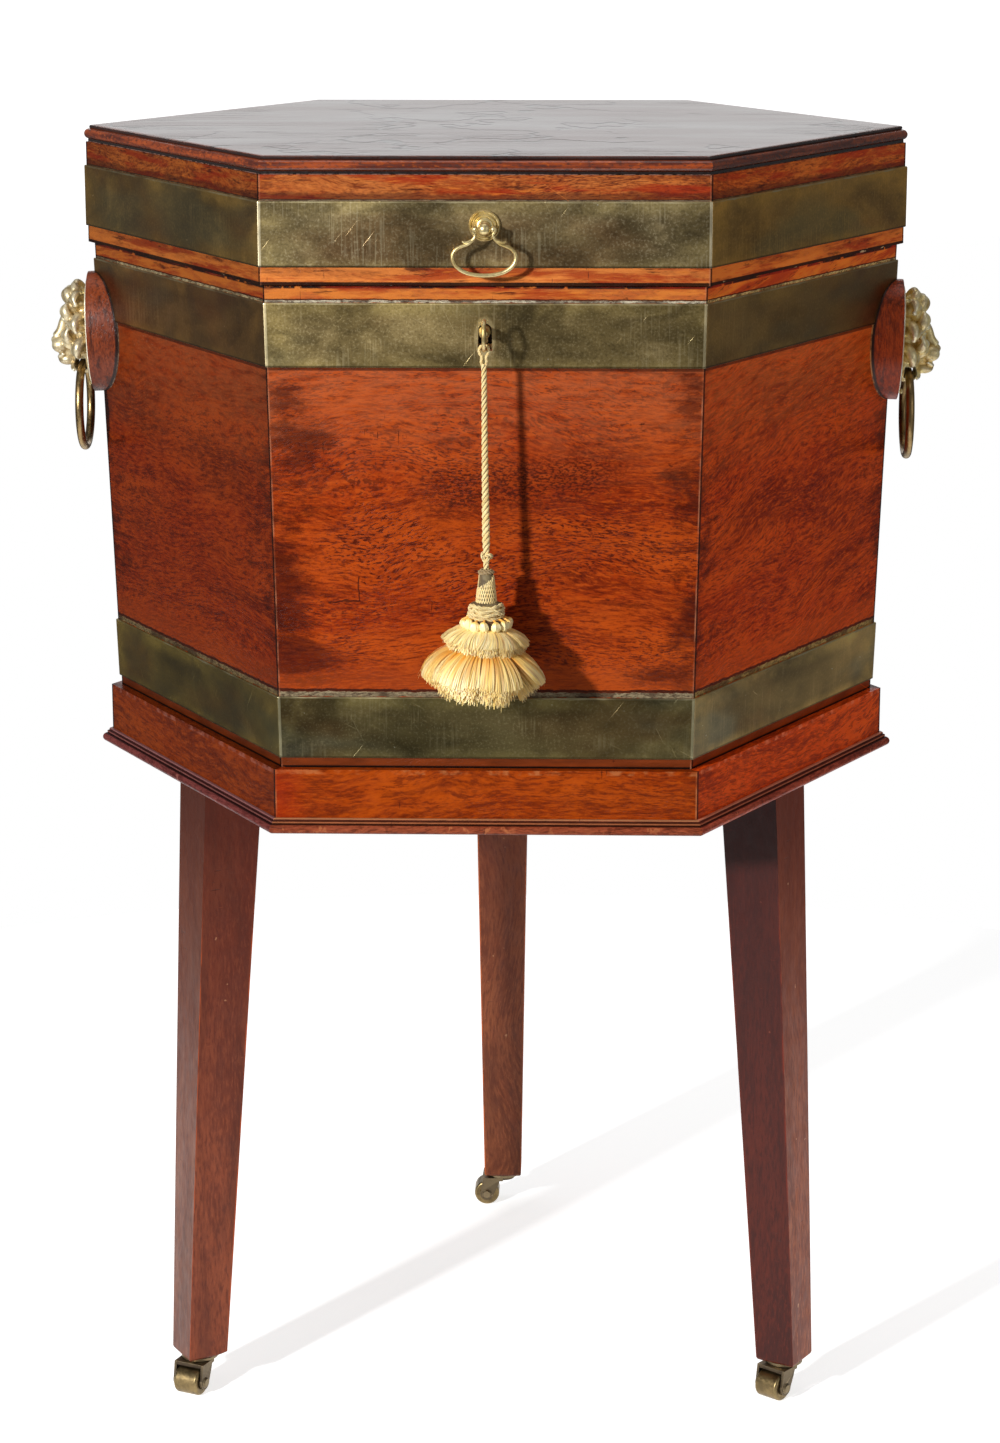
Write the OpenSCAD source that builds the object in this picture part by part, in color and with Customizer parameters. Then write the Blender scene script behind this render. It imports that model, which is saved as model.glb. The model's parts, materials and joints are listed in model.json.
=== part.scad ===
// Hexagonal brass-bound cellarette on a three-legged stand.
// Millimetres, +Z up, front towards -Y, floor at Z = 0.

/* [Placing] */
// How far the case's axis stands behind the origin, which is under the middle of the whole
axis_y = 8; // [0:0.5:12]

/* [Stand] */
// Height of the feet above the floor, which is the height of a caster
foot_z = 21; // [20.6:0.1:24]
// Height of the underside of the rails
stand_z = 361; // [320:1:400]
// Height of the rails
rail_h = 34.6; // [28:0.1:50]
// Reach of the rails past the foot of the case
rail_out = 5.2; // [4:0.1:8]
// Thickness of a rail
rail_t = 17.6; // [12:0.2:22]
// Width of a leg at the rail
leg_top_w = 34.5; // [30:0.5:42]
// Width of a leg at its foot
leg_foot_w = 23.7; // [23:0.1:30]
// How far a leg's outer face is set back from the rail at the top
leg_set = 1.3; // [0:0.1:4]
// How far a foot's outer face stands out past the rail
leg_splay = 14; // [0:0.5:25]
// Thickness of the board the case stands on
board_t = 12; // [9:0.5:16]
// Size of the glue blocks, from the corner inwards
block_d = 14; // [8:1:20]
// Height of the glue blocks
block_h = 12; // [6:1:20]
// Height of the moulding round the foot of the rails
mould_h = 8.4; // [8:0.1:12]
// Reach of the moulding past the rails
mould_out = 5.3; // [4.6:0.1:7]
// Radius of the moulding's large bead
mould_r = 2.6; // [2:0.1:3]

/* [Case] */
// Axis to a corner of the case at its rim
case_r = 225.7; // [200:0.1:250]
// How much nearer the axis a corner is at the foot of the case
flare = 8.8; // [4:0.1:14]
// Height of the case
case_h = 255.8; // [240:0.1:300]
// Thickness of the case's panels
panel_t = 14; // [13.6:0.1:16]
// Thickness of the bottom board
bottom_t = 12; // [8:0.5:18]
// Thickness of the brass bands
band_t = 1.1; // [0.6:0.1:1.3]
// Height of the lower band's lower edge above the foot of the case
low_band_up = 5.5; // [2:0.1:20]
// Height of the lower band
low_band_h = 33.3; // [20:0.1:40]
// Drop from the rim to the upper band's upper edge
top_band_drop = 8.6; // [4:0.1:10]
// Height of the upper band
top_band_h = 33.4; // [30:0.1:40]
// Thickness of the lead lining
liner_t = 1.2; // [0.8:0.1:2]
// Drop from the rim to the lining's upper edge
liner_drop = 1.4; // [1:0.1:6]
// Thickness of the bottle divisions
vane_t = 6; // [4:0.5:10]
// Height of the bottle divisions
vane_h = 186; // [120:1:200]
// Half the width across the flats of the divisions' middle post
post_a = 7; // [6:0.5:12]

/* [Lid] */
// Gap between the rim and the lid
lid_gap = 0.6; // [0.5:0.1:1]
// Reach of the lid's corners past the rim's
lid_out = 3.5; // [2:0.1:5]
// Height of the lid's sides
lid_side_h = 55.9; // [50:0.1:70]
// Thickness of the lid's sides
lid_t = 16; // [16:0.1:20]
// Height of the lid band's lower edge above the lid's lower edge
lid_band_up = 9.2; // [9:0.1:12]
// Height of the lid band
lid_band_h = 33.6; // [30:0.1:38]
// Thickness of the top board
top_t = 9.2; // [8.8:0.1:11]
// Radius of the bead on the top board's edge
top_bead_r = 2.9; // [2:0.1:3]
// Reach of the bead past the lid's sides
top_out = 0.7; // [0.4:0.1:1]

/* [Hinges] */
// Middle of a hinge from the middle of the back
hinge_x = 62; // [40:1:75]
// Length of a hinge
hinge_len = 50; // [40:1:60]
// Length of the lid's knuckle
knuckle_len = 17.4; // [12:0.1:20]
// Thickness of a leaf
leaf_t = 1.5; // [1:0.1:1.8]
// Depth of a leaf into the wood, from the axis of the pin
leaf_d = 15.5; // [13:0.1:17]
// Radius of a knuckle
knuckle_r = 3; // [2.6:0.1:3]
// Radius of a hinge pin
pin_r = 1.3; // [1:0.1:1.5]
// Axis of the pin behind the back of the lid
pin_out = 3.5; // [3.4:0.1:4]
// Gap between knuckles
knuckle_gap = 0.3; // [0.3:0.1:0.6]

/* [Lock and key] */
// Height of the key's axis below the rim
key_drop = 22.4; // [22:0.1:23]
// Depth of the lock case
lock_d = 8.9; // [8.6:0.1:9.4]
// Wood or air left between the back of the lock case and the lining
lock_gap = 0.1; // [0.1:0.05:0.3]
// Half the width of the lock case
lock_half_w = 31.5; // [31:0.5:34]
// Height of the lock case
lock_h = 39.4; // [39:0.1:42]
// Thickness of the lock case's walls
lock_wall = 0.8; // [0.6:0.1:0.9]
// Thickness of the lock's top plate
selvedge_t = 1.8; // [1.4:0.1:2]
// Half the length of the lock's top plate
selvedge_half = 38; // [37:0.5:42]
// Middle of a hook from the middle of the lock
hook_x = 17; // [16.8:0.1:17.2]
// Thickness of a hook
hook_t = 2.5; // [2:0.1:2.6]
// Reach of the hooks below the lid
hook_l = 11.5; // [11:0.1:11.6]
// Thickness of the bolt
bolt_t = 2; // [1.5:0.1:2]
// Travel of the bolt
bolt_travel = 6; // [5:0.1:6]
// Radius of the keyhole's round end
keyhole_r = 3.4; // [3.2:0.1:3.8]
// Length of the keyhole below the key's axis
keyhole_l = 10.6; // [9:0.1:11]
// Radius of the key's shank
shank_r = 2.6; // [2.3:0.1:2.8]
// Reach of the bit from the key's axis
bit_r = 7.5; // [7:0.1:7.7]
// Width of the bit
bit_w = 2.4; // [2:0.1:2.6]
// Radius of the pin the key fits over
drill_r = 1.1; // [0.9:0.1:1.2]
// Radius of the key's bow, to the middle of its wire
bow_r = 7.4; // [6.5:0.1:8]
// Radius of the bow's wire
bow_wire_r = 1.1; // [0.9:0.1:1.2]
// Middle of the bow in front of the wood
bow_out = 21.4; // [20:0.1:24]

/* [Ring handles] */
// Drop from the rim to the middle of the left pad
pad_drop = 49.9; // [44:0.1:60]
// How much lower the right handle sits than the left
right_drop = 3.5; // [0:0.5:6]
// Height of a pad
pad_h = 68; // [66:0.5:72]
// Width of a pad as a share of its height
pad_w_share = 0.7; // [0.68:0.01:0.8]
// Reach of a pad past the corner of the case
pad_out = 4.7; // [3:0.1:7]
// Thickness of a mask's rim
mask_rim_t = 2.4; // [1.6:0.1:2.4]
// Radius of the round ends of a mask's rim
mask_rim_r = 22.5; // [20:0.1:22.5]
// Half the distance between the middles of those ends
mask_rim_z = 9.5; // [8:0.1:9.5]
// Axis of the ring in front of the pad
ring_out = 5.6; // [5.4:0.1:6]
// Axis of the ring below the middle of the mask
ring_down = 17; // [16:0.1:18]
// Radius of a ring, to the middle of its wire
ring_r = 24.1; // [22:0.1:26]
// Radius of a ring's wire
ring_wire_r = 2.4; // [2:0.1:2.5]
// Clearance round a ring in its mask
ring_gap = 0.5; // [0.3:0.1:1]

/* [Lid bail] */
// Height of the rose's middle above the lid's lower edge
rose_up = 30.6; // [28:0.1:32]
// Radius of the rose
rose_r = 8.1; // [7:0.1:9]
// Thickness of each of the rose's two steps
rose_t = 1.2; // [0.8:0.1:1.5]
// Radius of the ball that holds the bail
ball_r = 3.5; // [3:0.1:3.6]
// Middle of the ball below the middle of the rose
ball_drop = 0.8; // [0:0.1:1.6]
// Middle of the ball in front of the band
ball_out = 9.5; // [8:0.1:11]
// Radius of the post
post_r = 1.8; // [1.5:0.1:2.2]
// Radius of the bail's wire
bail_r = 0.9; // [0.7:0.05:1]
// Middle of each bead beside the ball
bead_x = 5.6; // [5.4:0.1:6]
// Radius of the beads
bead_r = 1.8; // [1.2:0.1:1.9]

/* [Cord and tassel] */
// Radius of the doubled cord
cord_r = 1.55; // [1.2:0.05:1.8]
// Radius of one strand of the loop
loop_r = 0.85; // [0.7:0.05:0.9]
// Length of the doubled cord
cord_l = 96.2; // [90:0.1:110]
// Sideways set of the tassel from the key
tassel_x = 1; // [0:0.1:2]
// Number of silk balls
pompons = 14; // [10:1:14]

/* [Casters] */
// Radius of a roller
roller_r = 8; // [7:0.1:8]
// Width of a roller
roller_w = 15; // [12:0.1:16]
// Distance from the swivel to the axle
trail = 10.5; // [10:0.1:12]
// Radius of an axle
axle_r = 1.5; // [1.2:0.1:1.8]
// Thickness of a cheek
cheek_t = 1.6; // [1.2:0.1:2]
// Gap between a roller and a cheek
cheek_gap = 0.4; // [0.3:0.1:0.6]
// Radius of a caster's plate
plate_r = 10.6; // [10.4:0.1:11]
// Thickness of a caster's plate
plate_t = 1.6; // [1.4:0.1:1.8]
// Radius of a swivel pin
stem_r = 2.4; // [2:0.1:2.6]
// Which way the front left caster trails
trail_left = 246; // [0:1:359]
// Which way the front right caster trails
trail_right = 231; // [0:1:359]
// Which way the rear caster trails
trail_rear = 180; // [0:1:359]

/* [Fits] */
// Running clearance of a pin in its hole
running = 0.06; // [0.02:0.01:0.1]
// Hair joint between neighbouring staves
joint = 0.1; // [0.05:0.05:0.2]
// Clearance between pieces that move past each other
clear = 0.3; // [0.3:0.05:0.4]

/* [Hidden] */
$fn = 64;

c30 = cos(30);
far = 400;                              // past every part of the object
case_z = stand_z + rail_h;              // foot of the case
rim_z = case_z + case_h;
lid_z = rim_z + lid_gap;
lid_top_z = lid_z + lid_side_h;
case_a_low = (case_r - flare) * c30;
case_a_rim = case_r * c30;
taper = (case_a_rim - case_a_low) / case_h;
lean = atan(flare / case_h);
lid_a = (case_r + lid_out) * c30;
rail_a = case_a_low + rail_out;
rail_in = rail_a - rail_t;
foot_a = rail_a + leg_splay;            // outer face of a foot
leg_top_out = rail_a - leg_set;
swivel_a = foot_a - leg_foot_w / 2;
leg_in = leg_top_out - leg_top_w;
board_z = case_z - board_t;
liner_z = case_z + bottom_t;
vane_z = liner_z + liner_t;
pin_a = lid_a + pin_out;
pin_z = (rim_z + lid_z) / 2;
key_z = rim_z - key_drop;
bow_y = -(case_a(key_z) + bow_out);
bow_low_z = key_z - bow_r;              // wire at the foot of the bow
lock_back = case_a_rim - panel_t + lock_gap;
lock_front = lock_back + lock_d;
lock_y = -(lock_front + lock_back) / 2;
pad_z = rim_z - pad_drop;
cord_top_z = bow_low_z - 7;
ball_y = -(lid_a + band_t + ball_out);
rose_z = lid_z + rose_up;
ball_z = rose_z - ball_drop;

// Axis to the flat outside of the case at a height
function case_a(z) = case_a_low + (z - case_z) * taper;

// ---------- shared shapes ----------

module at_axis() { translate([0, axis_y, 0]) children(); }

// Six-sided solid whose faces follow a flat outline, given symmetrical about its upright axis
module six_sided() {
  intersection() {
    rotate([0, 0, 30]) rotate([90, 0, 0]) linear_extrude(height = 2 * far, center = true) children();
    rotate([0, 0, 90]) rotate([90, 0, 0]) linear_extrude(height = 2 * far, center = true) children();
    rotate([0, 0, 150]) rotate([90, 0, 0]) linear_extrude(height = 2 * far, center = true) children();
  }
}

// Outline of the case between two heights, grown outwards
module case_outline(z0, z1, grow = 0) {
  polygon([[-case_a(z0) - grow, z0], [case_a(z0) + grow, z0],
    [case_a(z1) + grow, z1], [-case_a(z1) - grow, z1]]);
}

module block_outline(a, z0, z1) { translate([-a, z0]) square([2 * a, z1 - z0]); }

// Keeps the sixth of a ring that belongs to face k
module sixth(k) {
  intersection() {
    children();
    rotate([0, 0, 60 * k + 30])
      linear_extrude(height = 2 * far)
        polygon([[joint, 0], [far, (far - joint) * tan(30)], [far, -(far - joint) * tan(30)]]);
  }
}

module case_shell() {
  difference() {
    six_sided() case_outline(case_z, rim_z);
    six_sided() case_outline(case_z - 1, rim_z + 1, -panel_t);
  }
}

module case_band(z0, z1) {
  difference() {
    six_sided() case_outline(z0, z1, band_t);
    six_sided() case_outline(z0 - 1, z1 + 1);
  }
}

// Countersunk screw, head flush at the origin, shank towards -Z
module screw(r, head_r, l) {
  translate([0, 0, -head_r + r]) cylinder(h = head_r - r, r1 = r, r2 = head_r, $fn = 24);
  translate([0, 0, -l]) cylinder(h = l, r = r, $fn = 24);
}

// ---------- stand ----------

module rail_ring(z0, z1) {
  difference() {
    six_sided() block_outline(rail_a, z0, z1);
    six_sided() block_outline(rail_in, z0 - 1, z1 + 1);
  }
}

leg_screw_r = 1.8;
leg_screw_head_r = 3.4;
leg_screw_l = 29;
leg_screw_y = 9;

module leg_screw_set() {
  for (y = [-leg_screw_y, leg_screw_y])
    translate([leg_in, y, (stand_z + board_z) / 2]) rotate([0, -90, 0])
      screw(leg_screw_r, leg_screw_head_r, leg_screw_l);
}

module stand_rails() {
  color("sienna") at_axis() difference() {
    union() for (k = [0:5]) sixth(k) rail_ring(stand_z, case_z);
    for (a = [90, 210, 330]) rotate([0, 0, a]) leg_screw_set();
  }
}

module mould_outline() {
  block_outline(rail_a + 1.2, stand_z, stand_z + mould_h);
  block_outline(rail_a + 2, stand_z, stand_z + mould_h - 1.2);
  block_outline(rail_a + mould_out - mould_r, stand_z + 0.4, stand_z + 2 * mould_r + 0.4);
  for (s = [-1, 1]) {
    translate([s * (rail_a + 2), stand_z + mould_h - 2.2]) circle(r = 1, $fn = 24);
    translate([s * (rail_a + mould_out - mould_r), stand_z + mould_r + 0.4]) circle(r = mould_r, $fn = 32);
  }
}

module stand_moulding() {
  color("sienna") at_axis() for (k = [0:5]) sixth(k) difference() {
    six_sided() mould_outline();
    six_sided() block_outline(rail_a, stand_z - 1, stand_z + mould_h + 1);
  }
}

module stand_board() {
  color("peru") at_axis() six_sided() block_outline(rail_in, board_z, case_z);
}

module glue_blocks() {
  color("peru") at_axis() for (k = [0:5]) rotate([0, 0, 60 * k])
    translate([0, 0, board_z - block_h]) linear_extrude(height = block_h)
      polygon([[rail_in / c30, 0], [rail_in / c30 - block_d, block_d * tan(60)],
        [rail_in / c30 - block_d, -block_d * tan(60)]]);
}

module leg_screws() {
  color("dimgray") at_axis() for (a = [90, 210, 330]) rotate([0, 0, a]) leg_screw_set();
}

caster_screw_r = 1;
caster_screw_head_r = 1.8;
caster_screw_l = 9;
caster_screw_at = 7.6;
rivet_r = 3.1;
rivet_t = 1.7;

module caster_screw_set() {
  for (a = [60, 180, 300]) rotate([0, 0, a]) translate([caster_screw_at, 0, foot_z - plate_t])
    mirror([0, 0, 1]) screw(caster_screw_r, caster_screw_head_r, caster_screw_l);
}

module leg() {
  t = leg_top_w / 2;
  f = leg_foot_w / 2;
  difference() {
    union() {
      polyhedron(
        points = [
          [foot_a - leg_foot_w, -f, foot_z], [foot_a, -f, foot_z],
          [foot_a, f, foot_z], [foot_a - leg_foot_w, f, foot_z],
          [leg_in, -t, stand_z], [leg_top_out, -t, stand_z],
          [leg_top_out, t, stand_z], [leg_in, t, stand_z]],
        faces = [[0, 1, 2, 3], [7, 6, 5, 4], [4, 5, 1, 0], [5, 6, 2, 1], [6, 7, 3, 2], [7, 4, 0, 3]]);
      translate([leg_in, -t, stand_z]) cube([rail_in - leg_in, 2 * t, board_z - stand_z]);
    }
    leg_screw_set();
    translate([swivel_a, 0, 0]) caster_screw_set();
    translate([swivel_a, 0, foot_z - 1])
      cylinder(h = 2 * clear + rivet_t + 1, r = rivet_r + clear, $fn = 32);
  }
}

module leg_left() { color("saddlebrown") at_axis() rotate([0, 0, 210]) leg(); }
module leg_right() { color("saddlebrown") at_axis() rotate([0, 0, 330]) leg(); }
module leg_rear() { color("saddlebrown") at_axis() rotate([0, 0, 90]) leg(); }

// ---------- casters ----------

module at_swivel(a) { at_axis() rotate([0, 0, a]) translate([swivel_a, 0, 0]) rotate([0, 0, -a]) children(); }

module caster_plates() {
  color("darkgoldenrod") for (a = [90, 210, 330]) at_swivel(a) difference() {
    translate([0, 0, foot_z - plate_t]) cylinder(h = plate_t, r = plate_r);
    translate([0, 0, foot_z - 3]) cylinder(h = 4, r = stem_r + running, $fn = 32);
    rotate([0, 0, a]) caster_screw_set();
  }
}

module caster_screws() {
  color("goldenrod") for (a = [90, 210, 330]) at_swivel(a) rotate([0, 0, a]) caster_screw_set();
}

crown_top = foot_z - plate_t - clear;
crown_t = 2.2;
crown_r = 7.5;
cheek_in = roller_w / 2 + cheek_gap;
cheek_out = cheek_in + cheek_t;
boss_r = 4.4;

module fork() {
  difference() {
    union() {
      translate([0, 0, crown_top - crown_t]) cylinder(h = crown_t, r = crown_r, $fn = 48);
      translate([0, -cheek_out, crown_top - crown_t])
        cube([trail + 2.5, 2 * cheek_out, crown_t]);
      for (s = [-1, 1]) translate([0, s * (cheek_in + cheek_t / 2), 0])
        rotate([90, 0, 0]) linear_extrude(height = cheek_t, center = true) {
          polygon([[1.5, crown_top], [trail + 2.5, crown_top], [trail + boss_r - 0.3, roller_r + 1],
            [trail - boss_r + 0.6, roller_r - 1.6], [3.2, crown_top - 5]]);
          translate([trail, roller_r]) circle(r = boss_r, $fn = 40);
        }
      translate([0, 0, crown_top - 1]) cylinder(h = foot_z + clear - crown_top + 1, r = stem_r, $fn = 32);
      translate([0, 0, foot_z + clear]) cylinder(h = rivet_t, r = rivet_r, $fn = 32);
    }
    translate([trail, 0, roller_r]) rotate([90, 0, 0])
      cylinder(h = 4 * cheek_out, r = axle_r, center = true, $fn = 32);
  }
}

module axle() {
  translate([trail, 0, roller_r]) rotate([90, 0, 0]) {
    cylinder(h = 2 * cheek_out, r = axle_r, center = true, $fn = 32);
    for (s = [0, 180]) rotate([s, 0, 0]) translate([0, 0, cheek_out])
      cylinder(h = 1.1, r1 = 3.2, r2 = 2.2, $fn = 32);
  }
}

module roller() {
  translate([trail, 0, roller_r]) rotate([90, 0, 0]) difference() {
    cylinder(h = roller_w, r = roller_r, center = true);
    cylinder(h = roller_w + 2, r = axle_r + running, center = true, $fn = 32);
  }
}

module fork_left() { color("goldenrod") at_swivel(210) rotate([0, 0, trail_left]) fork(); }
module fork_right() { color("goldenrod") at_swivel(330) rotate([0, 0, trail_right]) fork(); }
module fork_rear() { color("goldenrod") at_swivel(90) rotate([0, 0, trail_rear]) fork(); }
module axle_left() { color("silver") at_swivel(210) rotate([0, 0, trail_left]) axle(); }
module axle_right() { color("silver") at_swivel(330) rotate([0, 0, trail_right]) axle(); }
module axle_rear() { color("silver") at_swivel(90) rotate([0, 0, trail_rear]) axle(); }
module roller_left() { color("gold") at_swivel(210) rotate([0, 0, trail_left]) roller(); }
module roller_right() { color("gold") at_swivel(330) rotate([0, 0, trail_right]) roller(); }
module roller_rear() { color("gold") at_swivel(90) rotate([0, 0, trail_rear]) roller(); }

// ---------- case ----------

// Keyhole, drawn along Y about the key's axis
module keyhole() {
  translate([0, 0, key_z]) rotate([90, 0, 0]) {
    cylinder(h = 2 * far, r = keyhole_r, $fn = 40);
    linear_extrude(height = 2 * far)
      polygon([[-keyhole_r, 0], [keyhole_r, 0], [keyhole_r + 0.4, -keyhole_l], [-keyhole_r - 0.4, -keyhole_l]]);
  }
}

lock_screw_r = 1.2;
lock_screw_head_r = 2.2;
lock_screw_l = 14;
lock_screw_x = lock_half_w + 3.2;

module lock_screw_set() {
  for (x = [-lock_screw_x, lock_screw_x]) translate([x, lock_y, rim_z])
    screw(lock_screw_r, lock_screw_head_r, lock_screw_l);
}

module front_panel() {
  color("chocolate") at_axis() difference() {
    sixth(4) case_shell();
    translate([-lock_half_w, -lock_front, rim_z - lock_h])
      cube([2 * lock_half_w, lock_d + 10, lock_h + 1]);
    translate([-selvedge_half, -lock_front, rim_z - selvedge_t])
      cube([2 * selvedge_half, lock_d, selvedge_t + 1]);
    keyhole();
    lock_screw_set();
  }
}

leaf_screw_r = 0.8;
leaf_screw_head_r = 1.5;
leaf_screw_l = 9;
leaf_screw_y = pin_a - leaf_d + 4.5;

// Screws of both hinges: up = 1 for the lid's leaves, -1 for the case's
module leaf_screw_set(up) {
  for (c = [-hinge_x, hinge_x], x = [-17, 0, 17])
    translate([c + x, leaf_screw_y, up > 0 ? lid_z : rim_z])
      mirror([0, 0, up > 0 ? 1 : 0]) screw(leaf_screw_r, leaf_screw_head_r, leaf_screw_l);
}

module side_panels() {
  color("chocolate") at_axis() difference() {
    union() for (k = [0, 1, 2, 3, 5]) sixth(k) case_shell();
    for (c = [-hinge_x, hinge_x]) translate([c - hinge_len / 2, pin_a - leaf_d, rim_z - leaf_t])
      cube([hinge_len, leaf_d + 5, leaf_t + 1]);
    leaf_screw_set(-1);
  }
}

module case_bottom() {
  color("peru") at_axis() six_sided() case_outline(case_z, liner_z, -panel_t);
}

module upper_band() {
  color("darkkhaki") at_axis() difference() {
    case_band(rim_z - top_band_drop - top_band_h, rim_z - top_band_drop);
    keyhole();
  }
}

module lower_band() {
  color("darkkhaki") at_axis() case_band(case_z + low_band_up, case_z + low_band_up + low_band_h);
}

module liner() {
  color("slategray") at_axis() difference() {
    six_sided() case_outline(liner_z, rim_z - liner_drop, -panel_t);
    six_sided() case_outline(vane_z, rim_z + 1, -panel_t - liner_t);
  }
}

module division_post() {
  color("burlywood") at_axis() translate([0, 0, vane_z]) rotate([0, 0, 30])
    cylinder(h = vane_h, r = post_a / c30, $fn = 6);
}

module divisions() {
  color("burlywood") at_axis() intersection() {
    for (k = [0:5]) rotate([0, 0, 60 * k]) translate([post_a, -vane_t / 2, vane_z])
      cube([far, vane_t, vane_h]);
    six_sided() case_outline(vane_z, vane_z + vane_h, -panel_t - liner_t);
  }
}

// ---------- lock and key ----------

hook_y = lock_y - 0.05;
hook_w = 5.6;
eye_z = rim_z - 6.9;

module lock_case() {
  color("darkgoldenrod") at_axis() difference() {
    union() {
      translate([-lock_half_w, -lock_front, rim_z - lock_h]) cube([2 * lock_half_w, lock_d, lock_h]);
      translate([-selvedge_half, -lock_front, rim_z - selvedge_t])
        cube([2 * selvedge_half, lock_d, selvedge_t]);
    }
    difference() {
      translate([-lock_half_w + lock_wall, -lock_front + lock_wall, rim_z - lock_h + lock_wall])
        cube([2 * (lock_half_w - lock_wall), lock_d - 2 * lock_wall, lock_h - lock_wall - selvedge_t]);
      translate([0, -lock_back, key_z]) rotate([90, 0, 0])
        cylinder(h = lock_d - lock_wall - 1, r = drill_r, $fn = 24);
    }
    for (s = [-1, 1]) translate([s * hook_x, hook_y, rim_z])
      cube([hook_t + 1.6, hook_w + 1.5, 2 * selvedge_t + 1], center = true);
    intersection() {
      keyhole();
      translate([-far, -lock_front - 1, 0]) cube([2 * far, lock_wall + 1.1, far * 2]);
    }
    lock_screw_set();
  }
}

module lock_screws() { color("goldenrod") at_axis() lock_screw_set(); }

// Bolt: a plate with a window for the key and two fingers that pass through the hooks' eyes
module lock_bolt() {
  floor_z = rim_z - lock_h + lock_wall + clear;
  color("tan") at_axis() translate([0, hook_y, 0]) rotate([90, 0, 0])
    linear_extrude(height = bolt_t, center = true) difference() {
      union() {
        translate([-12, floor_z]) square([40, rim_z - 13.4 - floor_z]);
        translate([-7, rim_z - 13.5]) square([5, 8.6]);
        translate([25.2, rim_z - 13.5]) square([3.4, 8.6]);
        translate([-hook_x + hook_t / 2 + 1, eye_z - 2]) square([9, 4]);
        translate([hook_x + hook_t / 2 + 1, eye_z - 2]) square([7, 4]);
      }
      translate([-shank_r - bolt_travel - 1, key_z - 6]) square([shank_r * 2 + bolt_travel + 8, 12]);
      translate([-bit_w / 2 - 2.1 - 0.6, key_z - bit_r - 0.7]) square([bit_w + 4.8, 4]);
    }
}

module key() {
  tip = -(lock_back + lock_wall + 0.6);
  collar = bow_y + bow_r + 2.4;
  color("gold") at_axis() {
    difference() {
      translate([0, 0, key_z]) rotate([90, 0, 0]) translate([0, 0, -tip])
        cylinder(h = -bow_y - bow_r + tip, r = shank_r, $fn = 40);
      translate([0, 0, key_z]) rotate([90, 0, 0]) translate([0, 0, -tip - 1])
        cylinder(h = lock_d - lock_wall, r = drill_r + running, $fn = 24);
    }
    translate([-bit_w / 2, hook_y - 1.8, key_z - bit_r]) cube([bit_w, 3.6, bit_r - shank_r + 0.6]);
    translate([0, collar, key_z]) rotate([90, 0, 0]) cylinder(h = 1.8, r = shank_r + 1, $fn = 40);
    translate([0, bow_y, key_z]) rotate([0, 90, 0])
      rotate_extrude() translate([bow_r, 0]) circle(r = bow_wire_r, $fn = 24);
  }
}

// ---------- ring handles ----------

module at_corner(drop) {
  z = pad_z - drop;
  at_axis() translate([case_a(z) / c30, 0, z]) rotate([0, lean, 0]) children();
}

module pad(drop) {
  difference() {
    at_corner(drop) translate([-24, 0, 0]) scale([1, pad_w_share, 1]) rotate([0, 90, 0])
      cylinder(h = 24 + pad_out, r = pad_h / 2);
    at_axis() six_sided() case_outline(case_z, rim_z);
    at_axis() six_sided() case_outline(rim_z - top_band_drop - top_band_h, rim_z - top_band_drop, band_t);
    mask_pin_set(drop);
  }
}

mask_pin_r = 0.9;
mask_pin_head_r = 1.6;
mask_pin_l = 6.6;

module mask_pin() {
  rotate([0, 90, 0]) {
    translate([0, 0, -mask_pin_l]) cylinder(h = mask_pin_l + 0.5, r = mask_pin_r, $fn = 20);
    cylinder(h = 1, r1 = mask_pin_head_r, r2 = mask_pin_head_r - 0.6, $fn = 20);
  }
}

module mask_pin_set(drop) {
  at_corner(drop) for (p = mask_pin_at)
    translate([pad_out + mask_rim_t, p[0], p[1]]) mask_pin();
}

// Way swept by a ring about its axis in the mouth
module ring_sweep() {
  grow = ring_wire_r + ring_gap;
  half = ring_r - 1.7;
  rotate([90, 0, 0]) rotate_extrude() polygon(concat(
    [[0, -half]],
    [for (i = [-8:8]) [ring_r - sqrt(ring_r * ring_r - pow(half * i / 8, 2)) + grow, half * i / 8]],
    [[0, half]]));
}

mask_scale = mask_rim_r / 22.5;         // the relief below is drawn for a rim of that radius
mask_pin_at = [[-14, 23.5], [14, 23.5], [0, -29.4]] * mask_scale;

// Lion's mask in the pad's frame: x outwards, z up
module mask_shape() {
  difference() {
    union() {
      rotate([90, 0, 90]) linear_extrude(height = mask_rim_t) {
        translate([0, mask_rim_z]) circle(r = mask_rim_r);
        translate([0, -mask_rim_z]) circle(r = mask_rim_r);
        translate([-mask_rim_r, -mask_rim_z]) square([2 * mask_rim_r, 2 * mask_rim_z]);
      }
      scale(mask_scale * [1, 1, 1]) intersection() {
        translate([0, -40, -40]) cube([40, 80, 80]);
        union() {
          translate([-19, 0, 8]) sphere(r = 28);
          translate([-14, 0, -9]) sphere(r = 24);
          translate([6.5, 0, 21.5]) sphere(r = 8);
          translate([10, -9, 9]) rotate([-90, 0, 0]) cylinder(h = 18, r = 4.5, $fn = 40);
          for (s = [-1, 1]) translate([10, 9 * s, 9]) sphere(r = 4.5, $fn = 40);
          translate([10.5, 0, -4.5]) sphere(r = 10.5);
          translate([19, 0, -3.5]) sphere(r = 3, $fn = 32);
          translate([12, 0, -13]) sphere(r = 6.8);
          for (s = [-1, 1]) translate([6, 9 * s, -9]) sphere(r = 7.5);
          translate([4.4, 0, -21.5]) sphere(r = 5.4, $fn = 40);
          translate([2.5, 0, 29]) sphere(r = 4, $fn = 40);
        }
      }
    }
    intersection() {
      translate([ring_out, 0, -ring_down]) ring_sweep();
      translate([mask_rim_t + 0.2, -40, -60]) cube([60, 80, 60 - ring_down + ring_wire_r + ring_gap + 0.3]);
    }
  }
}

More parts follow.
